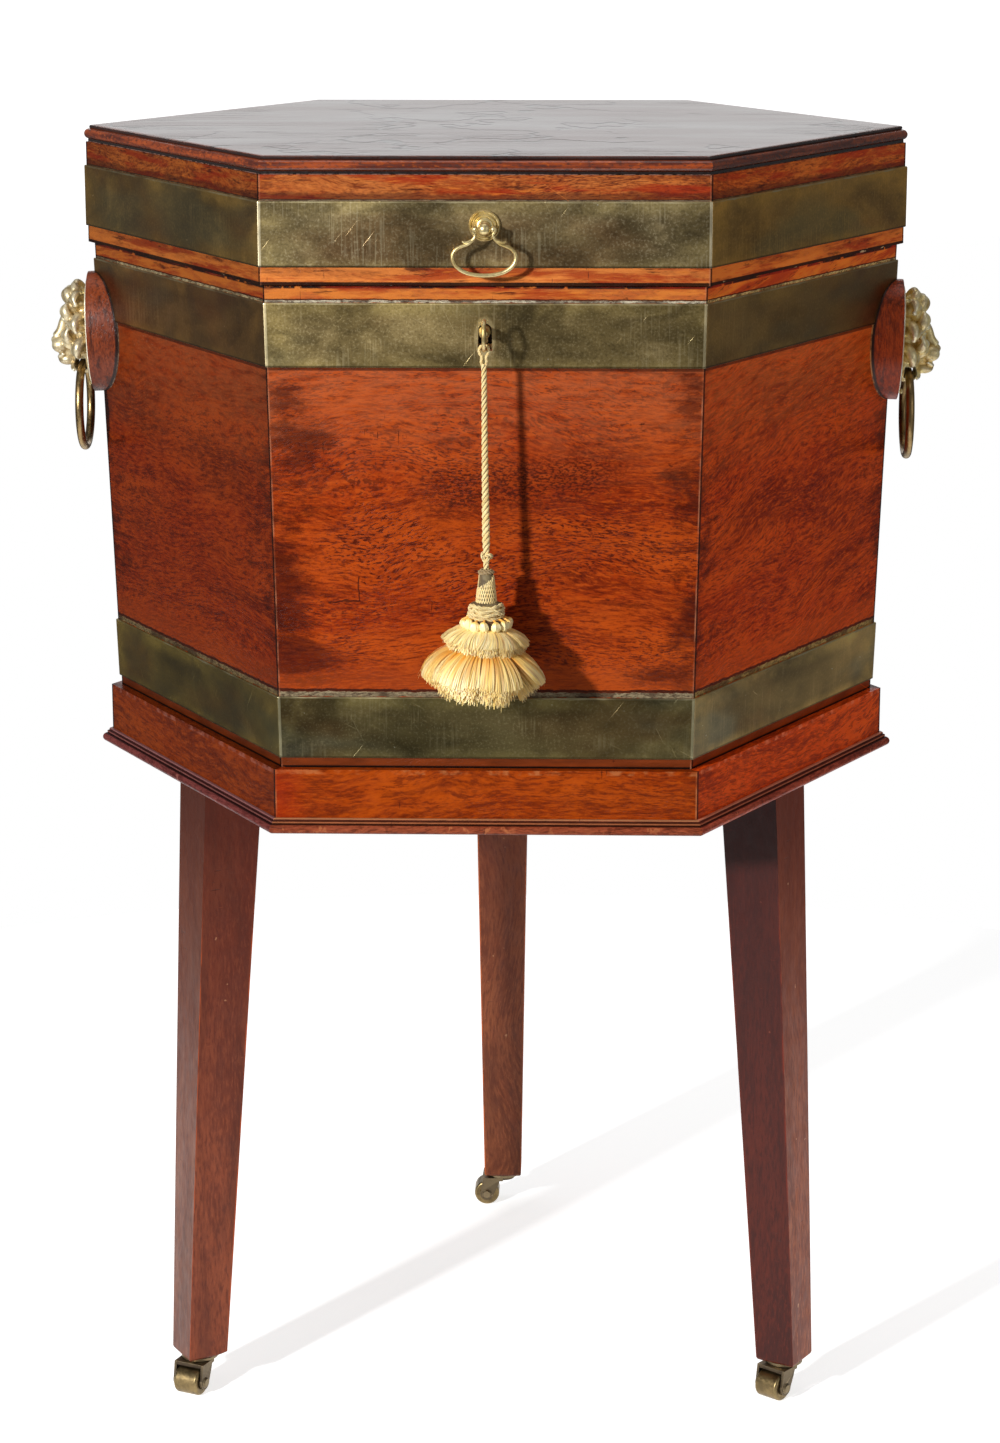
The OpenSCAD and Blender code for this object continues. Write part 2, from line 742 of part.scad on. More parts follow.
module mask(drop) {
  difference() {
    at_corner(drop) translate([pad_out, 0, 0]) mask_shape();
    mask_pin_set(drop);
  }
}

// Ring hanging plumb from its axis in the mouth
module ring(drop) {
  z = pad_z - drop;
  at_axis() translate([ring_axis_x(z), 0, ring_axis_z(z)]) translate([0, 0, -ring_r])
    rotate([0, 90, 0]) rotate_extrude() translate([ring_r, 0]) circle(r = ring_wire_r, $fn = 32);
}

function ring_axis_x(z) =
  case_a(z) / c30 + (pad_out + ring_out) * cos(lean) - ring_down * sin(lean);
function ring_axis_z(z) = z - (pad_out + ring_out) * sin(lean) - ring_down * cos(lean);

module pad_left() { color("sienna") mirror([1, 0, 0]) pad(0); }
module pad_right() { color("sienna") pad(right_drop); }
module mask_left() { color("gold") mirror([1, 0, 0]) mask(0); }
module mask_right() { color("gold") mask(right_drop); }
module mask_pins() { color("goldenrod") { mirror([1, 0, 0]) mask_pin_set(0); mask_pin_set(right_drop); } }
module ring_left() { color("darkgoldenrod") mirror([1, 0, 0]) ring(0); }
module ring_right() { color("darkgoldenrod") ring(right_drop); }

// ---------- hinges ----------

module along_x(l, r) { rotate([0, 90, 0]) cylinder(h = l, r = r, center = true, $fn = 40); }

leaf_edge = pin_a - knuckle_r - clear - 0.3;   // where a leaf stops short of the other's knuckle

module case_leaf() {
  half_gap = knuckle_len / 2 + knuckle_gap;
  arm = hinge_len / 2 - half_gap;
  difference() {
    union() {
      translate([-hinge_len / 2, pin_a - leaf_d, rim_z - leaf_t])
        cube([hinge_len, leaf_edge - pin_a + leaf_d, leaf_t]);
      for (s = [-1, 1]) {
        translate([s * (half_gap + arm / 2), pin_a, pin_z]) along_x(arm, knuckle_r);
        translate([s * (half_gap + arm / 2) - arm / 2, leaf_edge - 1, rim_z - leaf_t])
          cube([arm, pin_a - leaf_edge + 1, leaf_t]);
      }
    }
    translate([0, pin_a, pin_z]) along_x(hinge_len + 2, pin_r);
  }
}

module lid_leaf() {
  difference() {
    union() {
      translate([-hinge_len / 2, pin_a - leaf_d, lid_z])
        cube([hinge_len, leaf_edge - pin_a + leaf_d, leaf_t]);
      translate([0, pin_a, pin_z]) along_x(knuckle_len, knuckle_r);
      translate([-knuckle_len / 2, leaf_edge - 1, lid_z])
        cube([knuckle_len, pin_a - leaf_edge + 1, leaf_t]);
    }
    translate([0, pin_a, pin_z]) along_x(hinge_len + 2, pin_r + running);
  }
}

module case_leaves() {
  color("goldenrod") at_axis() difference() {
    for (c = [-hinge_x, hinge_x]) translate([c, 0, 0]) case_leaf();
    leaf_screw_set(-1);
  }
}

module lid_leaves() {
  color("goldenrod") at_axis() difference() {
    for (c = [-hinge_x, hinge_x]) translate([c, 0, 0]) lid_leaf();
    leaf_screw_set(1);
  }
}

module hinge_pins() {
  color("silver") at_axis() for (c = [-hinge_x, hinge_x]) translate([c, pin_a, pin_z]) {
    along_x(hinge_len, pin_r);
    for (s = [-1, 1]) translate([s * (hinge_len / 2 + 0.6), 0, 0]) along_x(1.2, pin_r + 0.8);
  }
}

module case_leaf_screws() { color("goldenrod") at_axis() leaf_screw_set(-1); }
module lid_leaf_screws() { color("goldenrod") at_axis() leaf_screw_set(1); }

// ---------- lid ----------

module top_outline() {
  bead_x0 = lid_a + top_out - top_bead_r;
  block_outline(bead_x0 - 0.8, lid_top_z, lid_top_z + top_t);
  block_outline(bead_x0, lid_top_z, lid_top_z + top_t - 1.1);
  block_outline(lid_a - 1.2, lid_top_z, lid_top_z + 1.6);
  for (s = [-1, 1]) {
    translate([s * bead_x0, lid_top_z + top_t - 1.9 - top_bead_r]) circle(r = top_bead_r, $fn = 40);
    translate([s * (bead_x0 - 0.8), lid_top_z + top_t - 1.1]) circle(r = 1.1, $fn = 24);
  }
}

module top_board() { color("brown") at_axis() six_sided() top_outline(); }

module lid_shell() {
  difference() {
    six_sided() block_outline(lid_a, lid_z, lid_top_z);
    six_sided() block_outline(lid_a - lid_t, lid_z - 1, lid_top_z + 1);
  }
}

strike_t = 1.8;
strike_half = 30;
strike_screw_x = 25.5;
strike_in = lid_a - lid_t + 0.2;

module strike_screw_set() {
  for (x = [-strike_screw_x, strike_screw_x]) translate([x, lock_y - 0.2, lid_z])
    mirror([0, 0, 1]) screw(leaf_screw_r, leaf_screw_head_r, leaf_screw_l);
}

module post_bore() {
  translate([0, -lid_a + 10, rose_z]) rotate([90, 0, 0]) cylinder(h = 40, r = post_r, $fn = 32);
}

module lid_sides() {
  color("chocolate") at_axis() difference() {
    union() for (k = [0:5]) sixth(k) lid_shell();
    for (c = [-hinge_x, hinge_x]) translate([c - hinge_len / 2, pin_a - leaf_d, lid_z - 1])
      cube([hinge_len, leaf_d + 5, leaf_t + 1]);
    leaf_screw_set(1);
    translate([-strike_half, -lock_front, lid_z - 1]) cube([2 * strike_half, lock_front - strike_in, strike_t + 1]);
    strike_screw_set();
    post_bore();
  }
}

module lid_band() {
  color("darkkhaki") at_axis() difference() {
    six_sided() block_outline(lid_a + band_t, lid_z + lid_band_up, lid_z + lid_band_up + lid_band_h);
    six_sided() block_outline(lid_a, lid_z, lid_top_z);
    post_bore();
  }
}

module strike() {
  color("goldenrod") at_axis() difference() {
    union() {
      translate([-strike_half, -lock_front, lid_z]) cube([2 * strike_half, lock_front - strike_in, strike_t]);
      for (s = [-1, 1]) translate([s * hook_x - hook_t / 2, hook_y - hook_w / 2, lid_z - hook_l])
        cube([hook_t, hook_w, hook_l + 1]);
    }
    for (s = [-1, 1]) translate([s * hook_x, hook_y, eye_z]) cube([hook_t + 2, bolt_t + 1.6, 5.4], center = true);
    strike_screw_set();
  }
}

module strike_screws() { color("goldenrod") at_axis() strike_screw_set(); }

module rose() {
  color("gold") at_axis() translate([0, -lid_a - band_t, rose_z]) rotate([90, 0, 0]) difference() {
    union() {
      cylinder(h = rose_t, r1 = rose_r, r2 = rose_r - 0.6);
      cylinder(h = 2 * rose_t, r1 = rose_r - 1.8, r2 = rose_r - 2.6);
    }
    translate([0, 0, -1]) cylinder(h = 10, r = post_r, $fn = 32);
  }
}

module bail_post() {
  color("gold") at_axis() difference() {
    union() {
      translate([0, -lid_a + 10, rose_z]) rotate([90, 0, 0])
        cylinder(h = 10 + band_t + ball_out - 1, r = post_r, $fn = 32);
      translate([0, -lid_a - band_t - 2 * rose_t, rose_z]) rotate([90, 0, 0])
        cylinder(h = 1.4, r1 = 2.8, r2 = 2.2, $fn = 32);
      translate([0, ball_y, ball_z]) rotate([90, 0, 0]) sphere(r = ball_r);
    }
    translate([0, ball_y, ball_z]) along_x(4 * ball_r, bail_r + running);
  }
}

// Half of the bail's wire as [x, z, radius] from its axis: pivot, bead, neck and loop
BAIL = [[0.4, 0, bail_r], [bead_x - 1.3, 0, bail_r], [bead_x - 0.9, 0, bead_r], [bead_x - 0.1, -0.4, bead_r],
  [bead_x, -1.4, bead_r - 0.3], [bead_x - 0.4, -2.5, bail_r], [bead_x - 0.5, -3.7, bail_r],
  [5.9, -5, bail_r], [7.4, -6.1, bail_r], [9.4, -6.9, bail_r], [11.8, -7.6, bail_r],
  [14.4, -9.1, bail_r], [16.2, -11.2, bail_r], [17, -13.7, bail_r], [16.4, -16.6, bail_r],
  [14.5, -19.4, bail_r], [11.7, -21.6, bail_r], [8, -23.1, bail_r], [4, -23.8, bail_r], [0, -24, bail_r]];

function flip(pts) = [for (i = [len(pts) - 2:-1:0]) [-pts[i][0], pts[i][1], pts[i][2]]];

// Tube through points of the XZ plane, each given as [x, z, radius]
module flat_tube(pts, sides = 8) {
  n = len(pts);
  steps = [for (i = [0:n - 1]) pts[min(i + 1, n - 1)] - pts[max(i - 1, 0)]];
  along = [for (d = steps) [d[0], d[1]] / norm([d[0], d[1]])];
  polyhedron(
    points = [for (i = [0:n - 1], j = [0:sides - 1]) let (t = 360 * j / sides, r = pts[i][2])
      [pts[i][0] + r * cos(t) * along[i][1], r * sin(t), pts[i][1] - r * cos(t) * along[i][0]]],
    faces = concat(
      [[for (j = [0:sides - 1]) j]],
      [[for (j = [0:sides - 1]) n * sides - 1 - j]],
      [for (i = [0:n - 2], j = [0:sides - 1])
        [(i + 1) * sides + j, (i + 1) * sides + (j + 1) % sides, i * sides + (j + 1) % sides, i * sides + j]]));
}

module bail() {
  color("gold") at_axis() translate([0, ball_y, ball_z]) {
    flat_tube(concat(BAIL, flip(BAIL)), 10);
    for (s = [-1, 1]) translate([s * 11, 0, -8.5]) rotate([0, -s * 100, 0])
      cylinder(h = 4, r = bail_r - 0.05, center = true, $fn = 10);
  }
}

// ---------- cord and tassel ----------

// Points of the loop over the bow's wire, from that wire
LOOP = [for (p = [[-0.9, -7], [-0.9, -6.3], [-1.5, -5], [-2.2, -2.8], [-2.4, -0.8], [-2.3, 0.8], [-1.7, 1.7],
  [-0.7, 2.25], [0.7, 2.25], [1.7, 1.7], [2.3, 0.8], [2.4, -0.8], [2.2, -2.8], [1.5, -5], [0.9, -6.3],
  [0.9, -7]]) [p[0], p[1], loop_r]];
// Points of the doubled cord: x, and the drop from its top
CORD = [for (p = [[0, 0], [0, -2], [0.2, -24], [0.4, -48], [0.7, -72], [tassel_x, -cord_l + 2],
  [tassel_x, -cord_l]]) [p[0], p[1], cord_r]];
knot_z = cord_top_z - cord_l;           // top of the knot

module cord_loop() {
  color("wheat") at_axis() translate([0, bow_y, bow_low_z]) flat_tube(LOOP);
}

module cord() {
  color("wheat") at_axis() translate([0, bow_y, cord_top_z]) flat_tube(CORD);
}

module at_tassel() { at_axis() translate([tassel_x, bow_y, knot_z]) children(); }

module tassel_knot() {
  color("wheat") at_tassel() intersection() {
    translate([0, 0, -3.2]) sphere(r = 3.6);
    translate([-5, -5, -6.4]) cube([10, 10, 6.4]);
  }
}

module tassel_head() {
  color("wheat") at_tassel() rotate_extrude() {
    polygon([[0, -6.4], [1.9, -6.4], [1.9, -9.4], [4, -10], [4.6, -11.4], [4, -12.8], [4.4, -13.8],
      [5.7, -27], [0, -27]]);
  }
}

module tassel_collar() {
  color("tan") at_tassel() rotate_extrude() {
    translate([0, -35.6]) square([8.4, 8.6]);
    translate([8.5, -28.7]) circle(r = 1.6, $fn = 24);
    translate([8.9, -31.4]) circle(r = 1.7, $fn = 24);
    translate([8.5, -34.1]) circle(r = 1.5, $fn = 24);
  }
}

module tassel_balls() {
  color("wheat") at_tassel() {
    translate([0, 0, -40.5]) cylinder(h = 4.9, r = 10.4);
    for (i = [0:pompons - 1]) rotate([0, 0, 360 / pompons * i]) translate([11.9, 0, -38.1]) sphere(r = 2.5, $fn = 32);
  }
}

module upper_skirt() {
  color("tan") at_tassel() rotate_extrude()
    polygon([[0, -40.5], [10.4, -40.5], [16, -41.7], [20.6, -44.2], [22.8, -47], [22, -50.4],
      [19.8, -54.2], [17.6, -56.5], [0, -56.5]]);
}

// Lower skirt, pressed flat where it would meet the case
module lower_skirt() {
  color("wheat") at_tassel() difference() {
    rotate_extrude() polygon([[0, -56.5], [20.6, -56.5], [25.6, -59], [29.6, -62.4], [32, -66.6], [31.4, -70],
      [28.6, -74], [25.6, -77], [0, -77]]);
    translate([-60, -bow_y - case_a(case_z + low_band_up + low_band_h) - band_t - 1.2, -100]) cube([120, 60, 60]);
  }
}

stand_rails();
stand_moulding();
stand_board();
glue_blocks();
leg_screws();
leg_left();
leg_right();
leg_rear();
caster_plates();
caster_screws();
fork_left();
fork_right();
fork_rear();
axle_left();
axle_right();
axle_rear();
roller_left();
roller_right();
roller_rear();
front_panel();
side_panels();
case_bottom();
upper_band();
lower_band();
liner();
division_post();
divisions();
lock_case();
lock_screws();
lock_bolt();
key();
pad_left();
pad_right();
mask_left();
mask_right();
mask_pins();
ring_left();
ring_right();
case_leaves();
lid_leaves();
hinge_pins();
case_leaf_screws();
lid_leaf_screws();
top_board();
lid_sides();
lid_band();
strike();
strike_screws();
rose();
bail_post();
bail();
cord_loop();
cord();
tassel_knot();
tassel_head();
tassel_collar();
tassel_balls();
upper_skirt();
lower_skirt();
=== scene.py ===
"""Dressed model of a hexagonal brass-bound cellarette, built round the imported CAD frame."""
import json
import math

import bmesh
import bpy
import numpy as np
from mathutils import Matrix, Vector


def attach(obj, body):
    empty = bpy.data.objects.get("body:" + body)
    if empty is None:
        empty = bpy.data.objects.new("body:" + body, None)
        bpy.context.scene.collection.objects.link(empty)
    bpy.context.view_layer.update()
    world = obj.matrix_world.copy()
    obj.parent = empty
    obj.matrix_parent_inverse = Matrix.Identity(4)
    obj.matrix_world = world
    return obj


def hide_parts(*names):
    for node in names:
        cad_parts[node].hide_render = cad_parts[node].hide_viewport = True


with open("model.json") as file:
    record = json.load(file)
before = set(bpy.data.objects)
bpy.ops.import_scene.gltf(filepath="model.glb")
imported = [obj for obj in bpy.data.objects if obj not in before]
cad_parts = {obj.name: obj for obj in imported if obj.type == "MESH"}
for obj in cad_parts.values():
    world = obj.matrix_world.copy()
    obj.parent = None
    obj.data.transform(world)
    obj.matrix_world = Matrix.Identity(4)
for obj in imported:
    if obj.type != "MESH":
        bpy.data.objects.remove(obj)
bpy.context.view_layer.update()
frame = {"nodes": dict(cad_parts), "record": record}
NODES = frame["nodes"]
BODY_OF = {n: b for b, ns in frame["record"]["behaviour"]["bodies"].items() for n in ns}
SLOT_OF = {s["node"]: s["material_slot"] for s in frame["record"]["subparts"]}
scene = bpy.context.scene
scene.view_settings.view_transform = "Standard"
rng = np.random.default_rng(11)

# Sizes in millimetres from the case's upright axis, as in the CAD source; an A is a face's distance from it
AXIS = np.array([0.0, 8.0, 0.0])
C30 = math.cos(math.pi / 6)
STAND_Z, RAIL_TOP_Z, RAIL_A = 361, 393.6, 193.04
CASE_Z, RIM_Z, LID_Z, LID_TOP_Z, TOP_Z = 395.6, 651.4, 652.0, 707.9, 717.1
A_LOW, A_RIM, A_LID = 187.841, 195.462, 198.493
BAND_T = 1.1
LEAN = math.atan(8.8 / 255.8)  # of the case's upright corners
BOW_Y, BOW_LOW_Z, CORD_TOP_Z, KNOT_Z = -216.195, 621.6, 614.6, 518.4
KEY_Z = 629.0
LOCK_BACK, LOCK_WALL, KEY_GAP = 181.561, 0.8, 0.6
KEY_SEAT = LOCK_BACK + LOCK_WALL + KEY_GAP  # how far in front of the axis the key's barrel begins
BALL = np.array([0.0, -209.093, 681.8])  # end of the post that carries the bail
ROSE = [0, -A_LID - BAND_T, 682.6]
TASSEL = np.array([1.0, BOW_Y, KNOT_Z])
CORD_SEEN = 96.2
CORD_END = 44.0  # how far the cord runs on inside the tassel, below the top of the knot
BACK_Y = -191.6  # the skirts stay in front of this plane, clear of the case
MASK_Z = RIM_Z - 49.9
MASK_OUT = 4.7  # seat of a mask on its pad, from the case's corner
RING_R, RING_WIRE_R = 24.1, 2.4
RING_OUT, RING_DOWN = 5.6, 17.0  # the ring's pin in its mask


def case_a(z):
    return A_LOW + (z - CASE_Z) * (A_RIM - A_LOW) / (RIM_Z - CASE_Z)


def rgb(r, g, b):
    """Linear colour from 0-255 display values."""
    shown = [c / 255 for c in (r, g, b)]
    return tuple(c / 12.92 if c < 0.0404 else ((c + 0.055) / 1.055) ** 2.4 for c in shown) + (1.0,)


# ---------- camera ----------

def add_camera():
    cam = bpy.data.cameras.new("camera")
    cam.lens, cam.sensor_width, cam.clip_end = 88.9, 36, 60
    ob = bpy.data.objects.new("camera", cam)
    scene.collection.objects.link(ob)
    right = Vector((0.999706, 0.024226, -0.000519))
    up = Vector((-0.005359, 0.24192, 0.970281))
    back = -Vector((-0.023631, 0.969994, -0.241979))
    turn = Matrix((right, up, back)).transposed().to_4x4()
    ob.matrix_world = Matrix.Translation((0.05171, -2.00112, 0.87543)) @ turn
    scene.camera = ob


add_camera()


# ---------- meshes ----------

class Parts:
    """Collects vertices (mm from the axis), faces and one vector per vertex."""

    def __init__(self):
        self.v, self.f, self.a, self.n = [], [], [], 0

    def add(self, verts, faces, vec=(0, 0, 0)):
        verts = np.asarray(verts, float)
        self.f += [[i + self.n for i in f] for f in faces]
        self.v.append(verts)
        self.a.append(np.broadcast_to(np.asarray(vec, float), verts.shape))
        self.n += len(verts)
        return self


def around(n):
    """Angles of n even steps round a circle."""
    return np.arange(n) * 2 * math.pi / n


def grid_faces(rows, sides, closed=False):
    """Quads of a tube of rings; closed joins the last ring to the first."""
    out = []
    for i in range(rows if closed else rows - 1):
        a, b = i * sides, ((i + 1) % rows) * sides
        out += [[a + j, a + (j + 1) % sides, b + (j + 1) % sides, b + j] for j in range(sides)]
    return out


def end_faces(rows, sides):
    return [list(range(sides))[::-1], [(rows - 1) * sides + j for j in range(sides)]]


def frames(pts, closed=False, up=(0, 0, 1.0)):
    """Tangents and two normals carried along a path."""
    if closed:
        tan = np.roll(pts, -1, 0) - np.roll(pts, 1, 0)
    else:
        tan = np.gradient(pts, axis=0)
    tan /= np.linalg.norm(tan, axis=1)[:, None]
    nrm = np.zeros_like(pts)
    n = np.cross(tan[0], up)
    if np.linalg.norm(n) < 1e-3:
        n = np.cross(tan[0], [1.0, 0, 0])
    for i, t in enumerate(tan):
        n = n - t * (n @ t)
        n /= np.linalg.norm(n)
        nrm[i] = n
    return tan, nrm, np.cross(tan, nrm)


def tube(pts, radius, sides=12, closed=False, flat=1.0):
    """Round tube; radius is one number or one per point; flat squeezes its second axis."""
    pts = np.asarray(pts, float)
    rad = np.broadcast_to(np.asarray(radius, float), (len(pts),))
    _, n, b = frames(pts, closed)
    t = around(sides)
    ring = np.cos(t)[None, :, None] * n[:, None] + flat * np.sin(t)[None, :, None] * b[:, None]
    verts = (pts[:, None] + ring * rad[:, None, None]).reshape(-1, 3)
    faces = grid_faces(len(pts), sides, closed)
    return verts, faces if closed else faces + end_faces(len(pts), sides)


def lathe(profile, sides=48, centre=(0, 0, 0), turn=None):
    """Closed solid from [r, z] pairs that begin and end on the axis."""
    inner = profile[1:-1]
    verts = [[r * math.cos(a), r * math.sin(a), z] for r, z in inner for a in around(sides)]
    faces = grid_faces(len(inner), sides)
    k = len(verts)
    verts += [[0, 0, profile[0][1]], [0, 0, profile[-1][1]]]
    last = (len(inner) - 1) * sides
    faces += [[k, (j + 1) % sides, j] for j in range(sides)]
    faces += [[k + 1, last + j, last + (j + 1) % sides] for j in range(sides)]
    verts = np.array(verts)
    if turn is not None:
        verts = verts @ turn.T
    return verts + np.array(centre), faces


def blob(centre, size, turn=None, sides=16, rows=9):
    """Ellipsoid."""
    a = np.linspace(0, math.pi, rows)
    verts, faces = lathe([[math.sin(x), -math.cos(x)] for x in a], sides)
    verts = verts * np.asarray(size, float)
    if turn is not None:
        verts = verts @ turn.T
    return verts + np.asarray(centre, float), faces


def curve(points, n):
    """Smooth path through points, n steps a span."""
    p = np.asarray(points, float)
    p = np.vstack([2 * p[0] - p[1], p, 2 * p[-1] - p[-2]])
    out = []
    for i in range(1, len(p) - 2):
        for t in np.arange(n) / n:
            out.append(0.5 * (2 * p[i] + (p[i + 1] - p[i - 1]) * t
                              + (2 * p[i - 1] - 5 * p[i] + 4 * p[i + 1] - p[i + 2]) * t * t
                              + (3 * p[i] - p[i - 1] - 3 * p[i + 1] + p[i + 2]) * t ** 3))
    out.append(p[-2])
    return np.array(out)


def travelled(path):
    """Length of the path up to each of its points."""
    return np.concatenate([[0], np.cumsum(np.linalg.norm(np.diff(path, axis=0), axis=1))])


def resampled(path, at):
    """Points of a path at the lengths given."""
    s = travelled(path)
    return np.stack([np.interp(at, s, path[:, i]) for i in range(path.shape[1])], 1)


def turned(axis, degrees):
    return np.array(Matrix.Rotation(math.radians(degrees), 3, axis))


def soften(me, angle):
    me.shade_smooth()
    me.set_sharp_from_angle(angle=math.radians(angle))


def add_object(name, verts, faces):
    """Mesh object from points in metres."""
    me = bpy.data.meshes.new(name)
    me.from_pydata(np.asarray(verts).tolist(), [], faces)
    ob = bpy.data.objects.new(name, me)
    scene.collection.objects.link(ob)
    return ob


def finish(ob, mat, node, smooth=35, stands=None):
    """Material, shading, body, slot and the CAD nodes that ob stands for."""
    ob.data.materials.clear()
    ob.data.materials.append(mat)
    if smooth:
        soften(ob.data, smooth)
    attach(ob, BODY_OF[node])
    stands = [node] if stands is None else stands
    if stands:
        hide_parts(*stands)
    return ob


def make(name, parts, mat, node, smooth=35, stands=None, vector=None):
    """Piece from collected parts; vector names the attribute that holds their vectors."""
    ob = add_object(name, (np.vstack(parts.v) + AXIS) / 1000, parts.f)
    if vector:
        held = ob.data.attributes.new(vector, "FLOAT_VECTOR", "POINT")
        held.data.foreach_set("vector", np.vstack(parts.a).ravel())
    return finish(ob, mat, node, smooth, stands)


def bake(ob):
    """Applies the modifiers."""
    old = ob.data
    ob.data = bpy.data.meshes.new_from_object(ob.evaluated_get(bpy.context.evaluated_depsgraph_get()))
    ob.modifiers.clear()
    bpy.data.meshes.remove(old)


def cut(ob, verts, faces, planes=()):
    """Cuts a closed solid (points in metres) out of ob; planes (point in mm, normal) trim the solid first."""
    cutter = add_object("cutter", verts, faces)
    bm = bmesh.new()
    bm.from_mesh(cutter.data)
    for point, normal in planes:
        geom = bm.verts[:] + bm.edges[:] + bm.faces[:]
        trim = bmesh.ops.bisect_plane(bm, geom=geom, plane_co=Vector(point) / 1000, plane_no=normal,
                                      clear_outer=True)
        edges = [e for e in trim["geom_cut"] if isinstance(e, bmesh.types.BMEdge)]
        bmesh.ops.edgeloop_fill(bm, edges=edges)
    bmesh.ops.recalc_face_normals(bm, faces=bm.faces)
    bm.to_mesh(cutter.data)
    bm.free()
    mod = ob.modifiers.new("cut", "BOOLEAN")
    mod.object, mod.operation, mod.solver = cutter, "DIFFERENCE", "EXACT"
    bake(ob)
    bpy.data.objects.remove(cutter)


def round_foot(bm, width):
    """Rounds the outline of the lowest face; the short edges of the holes in it stay sharp."""
    level, shortest = 0.0015, 0.01  # metres
    low = min(v.co.z for v in bm.verts) + level
    edges = [e for e in bm.edges if all(v.co.z < low for v in e.verts) and e.calc_length() > shortest]
    bmesh.ops.bevel(bm, geom=edges, offset=width / 1000, segments=5, profile=0.5, affect="EDGES")


def refined(node, mat, width=0.5, segments=3, smooth=40, angle=30, coords=None, foot=0):
    """Copy of a CAD node with softened edges, in place of it; foot rounds its lowest edges more (mm)."""
    me = NODES[node].data.copy()
    ob = bpy.data.objects.new(node + "_finished", me)
    scene.collection.objects.link(ob)
    bm = bmesh.new()
    bm.from_mesh(me)
    bmesh.ops.remove_doubles(bm, verts=bm.verts, dist=2e-6)
    bmesh.ops.dissolve_limit(bm, angle_limit=math.radians(0.6), verts=bm.verts, edges=bm.edges)
    if foot:
        round_foot(bm, foot)
    bm.to_mesh(me)
    bm.free()
    if "custom_normal" in me.attributes:
        me.attributes.remove(me.attributes["custom_normal"])
    if width:
        mod = ob.modifiers.new("soften", "BEVEL")
        mod.width, mod.segments = width / 1000, segments
        mod.limit_method, mod.angle_limit = "ANGLE", math.radians(angle)
        mod.use_clamp_overlap = True
        bake(ob)
    soften(ob.data, smooth)
    mod = ob.modifiers.new("flat", "WEIGHTED_NORMAL")
    mod.keep_sharp = True
    bake(ob)
    if coords:
        coords(ob.data)
    return finish(ob, mat, node, 0)


def hex_sweep(profile, soft=0.5, n=4):
    """Closed profile of [apothem, z] pairs, outer side upwards, swept round six softened corners."""
    verts = []
    for a, z in profile:
        for c in range(6):
            mid = math.radians(60 * c)
            centre = (a - soft) / C30 * np.array([math.cos(mid), math.sin(mid)])
            t = mid + np.radians(np.linspace(-30, 30, n + 1))
            bend = centre + soft * np.stack([np.cos(t), np.sin(t)], 1)
            flow = np.stack([-np.sin(t), np.cos(t)], 1) * 0.7
            ring = np.vstack([bend[:1] - flow[:1], bend, bend[-1:] + flow[-1:]])
            verts.append(np.column_stack([ring, np.full(n + 3, z)]))
    return np.vstack(verts), grid_faces(len(profile), 6 * (n + 3), True)


def arc(cx, cy, r, a0, a1, n):
    t = np.radians(np.linspace(a0, a1, n))
    return np.stack([cx + r * np.cos(t), cy + r * np.sin(t)], 1).tolist()


# ---------- wood and band coordinates ----------

def read(items, key, width, kind=np.float32):
    out = np.empty(len(items) * width, kind)
    items.foreach_get(key, out)
    return out.reshape(-1, width)


def corners(me):
    """Per face corner: its place and its face's middle, in mm from the axis, and the face's normal."""
    face = np.repeat(np.arange(len(me.polygons)), read(me.polygons, "loop_total", 1, np.int32)[:, 0])
    at = read(me.vertices, "co", 3)[read(me.loops, "vertex_index", 1, np.int32)[:, 0]]
    mid = read(me.polygons, "center", 3)[face]
    return at * 1000 - AXIS, mid * 1000 - AXIS, read(me.polygons, "normal", 3)[face]


def put(me, name, *columns):
    held = me.attributes.new(name, "FLOAT_VECTOR", "CORNER")
    values = np.column_stack(columns)
    held.data.foreach_set("vector", np.ascontiguousarray(values, np.float32).ravel())


def six_boards(z0, z1, tints, a0, a1, leans=(0,) * 6):
    """Coordinates of six boards round the axis: grain (along, up, in) in metres, place (across -1..1,
    height 0..1, 1 on the front) and tint, a colour gain for each face from the one at 30 degrees on, which
    paints that face's light and shade.
    The faces stand a0 from the axis at z0 and a1 at z1; leans tilts their grain."""

    def coords(me):
        co, mid, nrm = corners(me)
        k = np.round((np.degrees(np.arctan2(mid[:, 1], mid[:, 0])) - 30) / 60).astype(int) % 6
        a = np.radians(60 * k + 30)
        t = -co[:, 0] * np.sin(a) + co[:, 1] * np.cos(a)
        n = co[:, 0] * np.cos(a) + co[:, 1] * np.sin(a)
        h = (co[:, 2] - z0) / (z1 - z0)
        half = (a0 + (a1 - a0) * h) / math.sqrt(3)
        h = np.where(np.abs(nrm[:, 2]) > 0.9, np.clip(h, 0.1, 0.975), h)  # level faces get none of the marks at the upper and lower edges
        w = np.radians(np.array(leans, float)[k])
        along = t * np.cos(w) + co[:, 2] * np.sin(w)
        up = co[:, 2] * np.cos(w) - t * np.sin(w)
        put(me, "grain", along / 1000 + k * 0.731, up / 1000 + k * 0.377, n / 1000)
        put(me, "place", t / half, h, k == 4)
        put(me, "tint", np.array(tints, float)[k])

    return coords


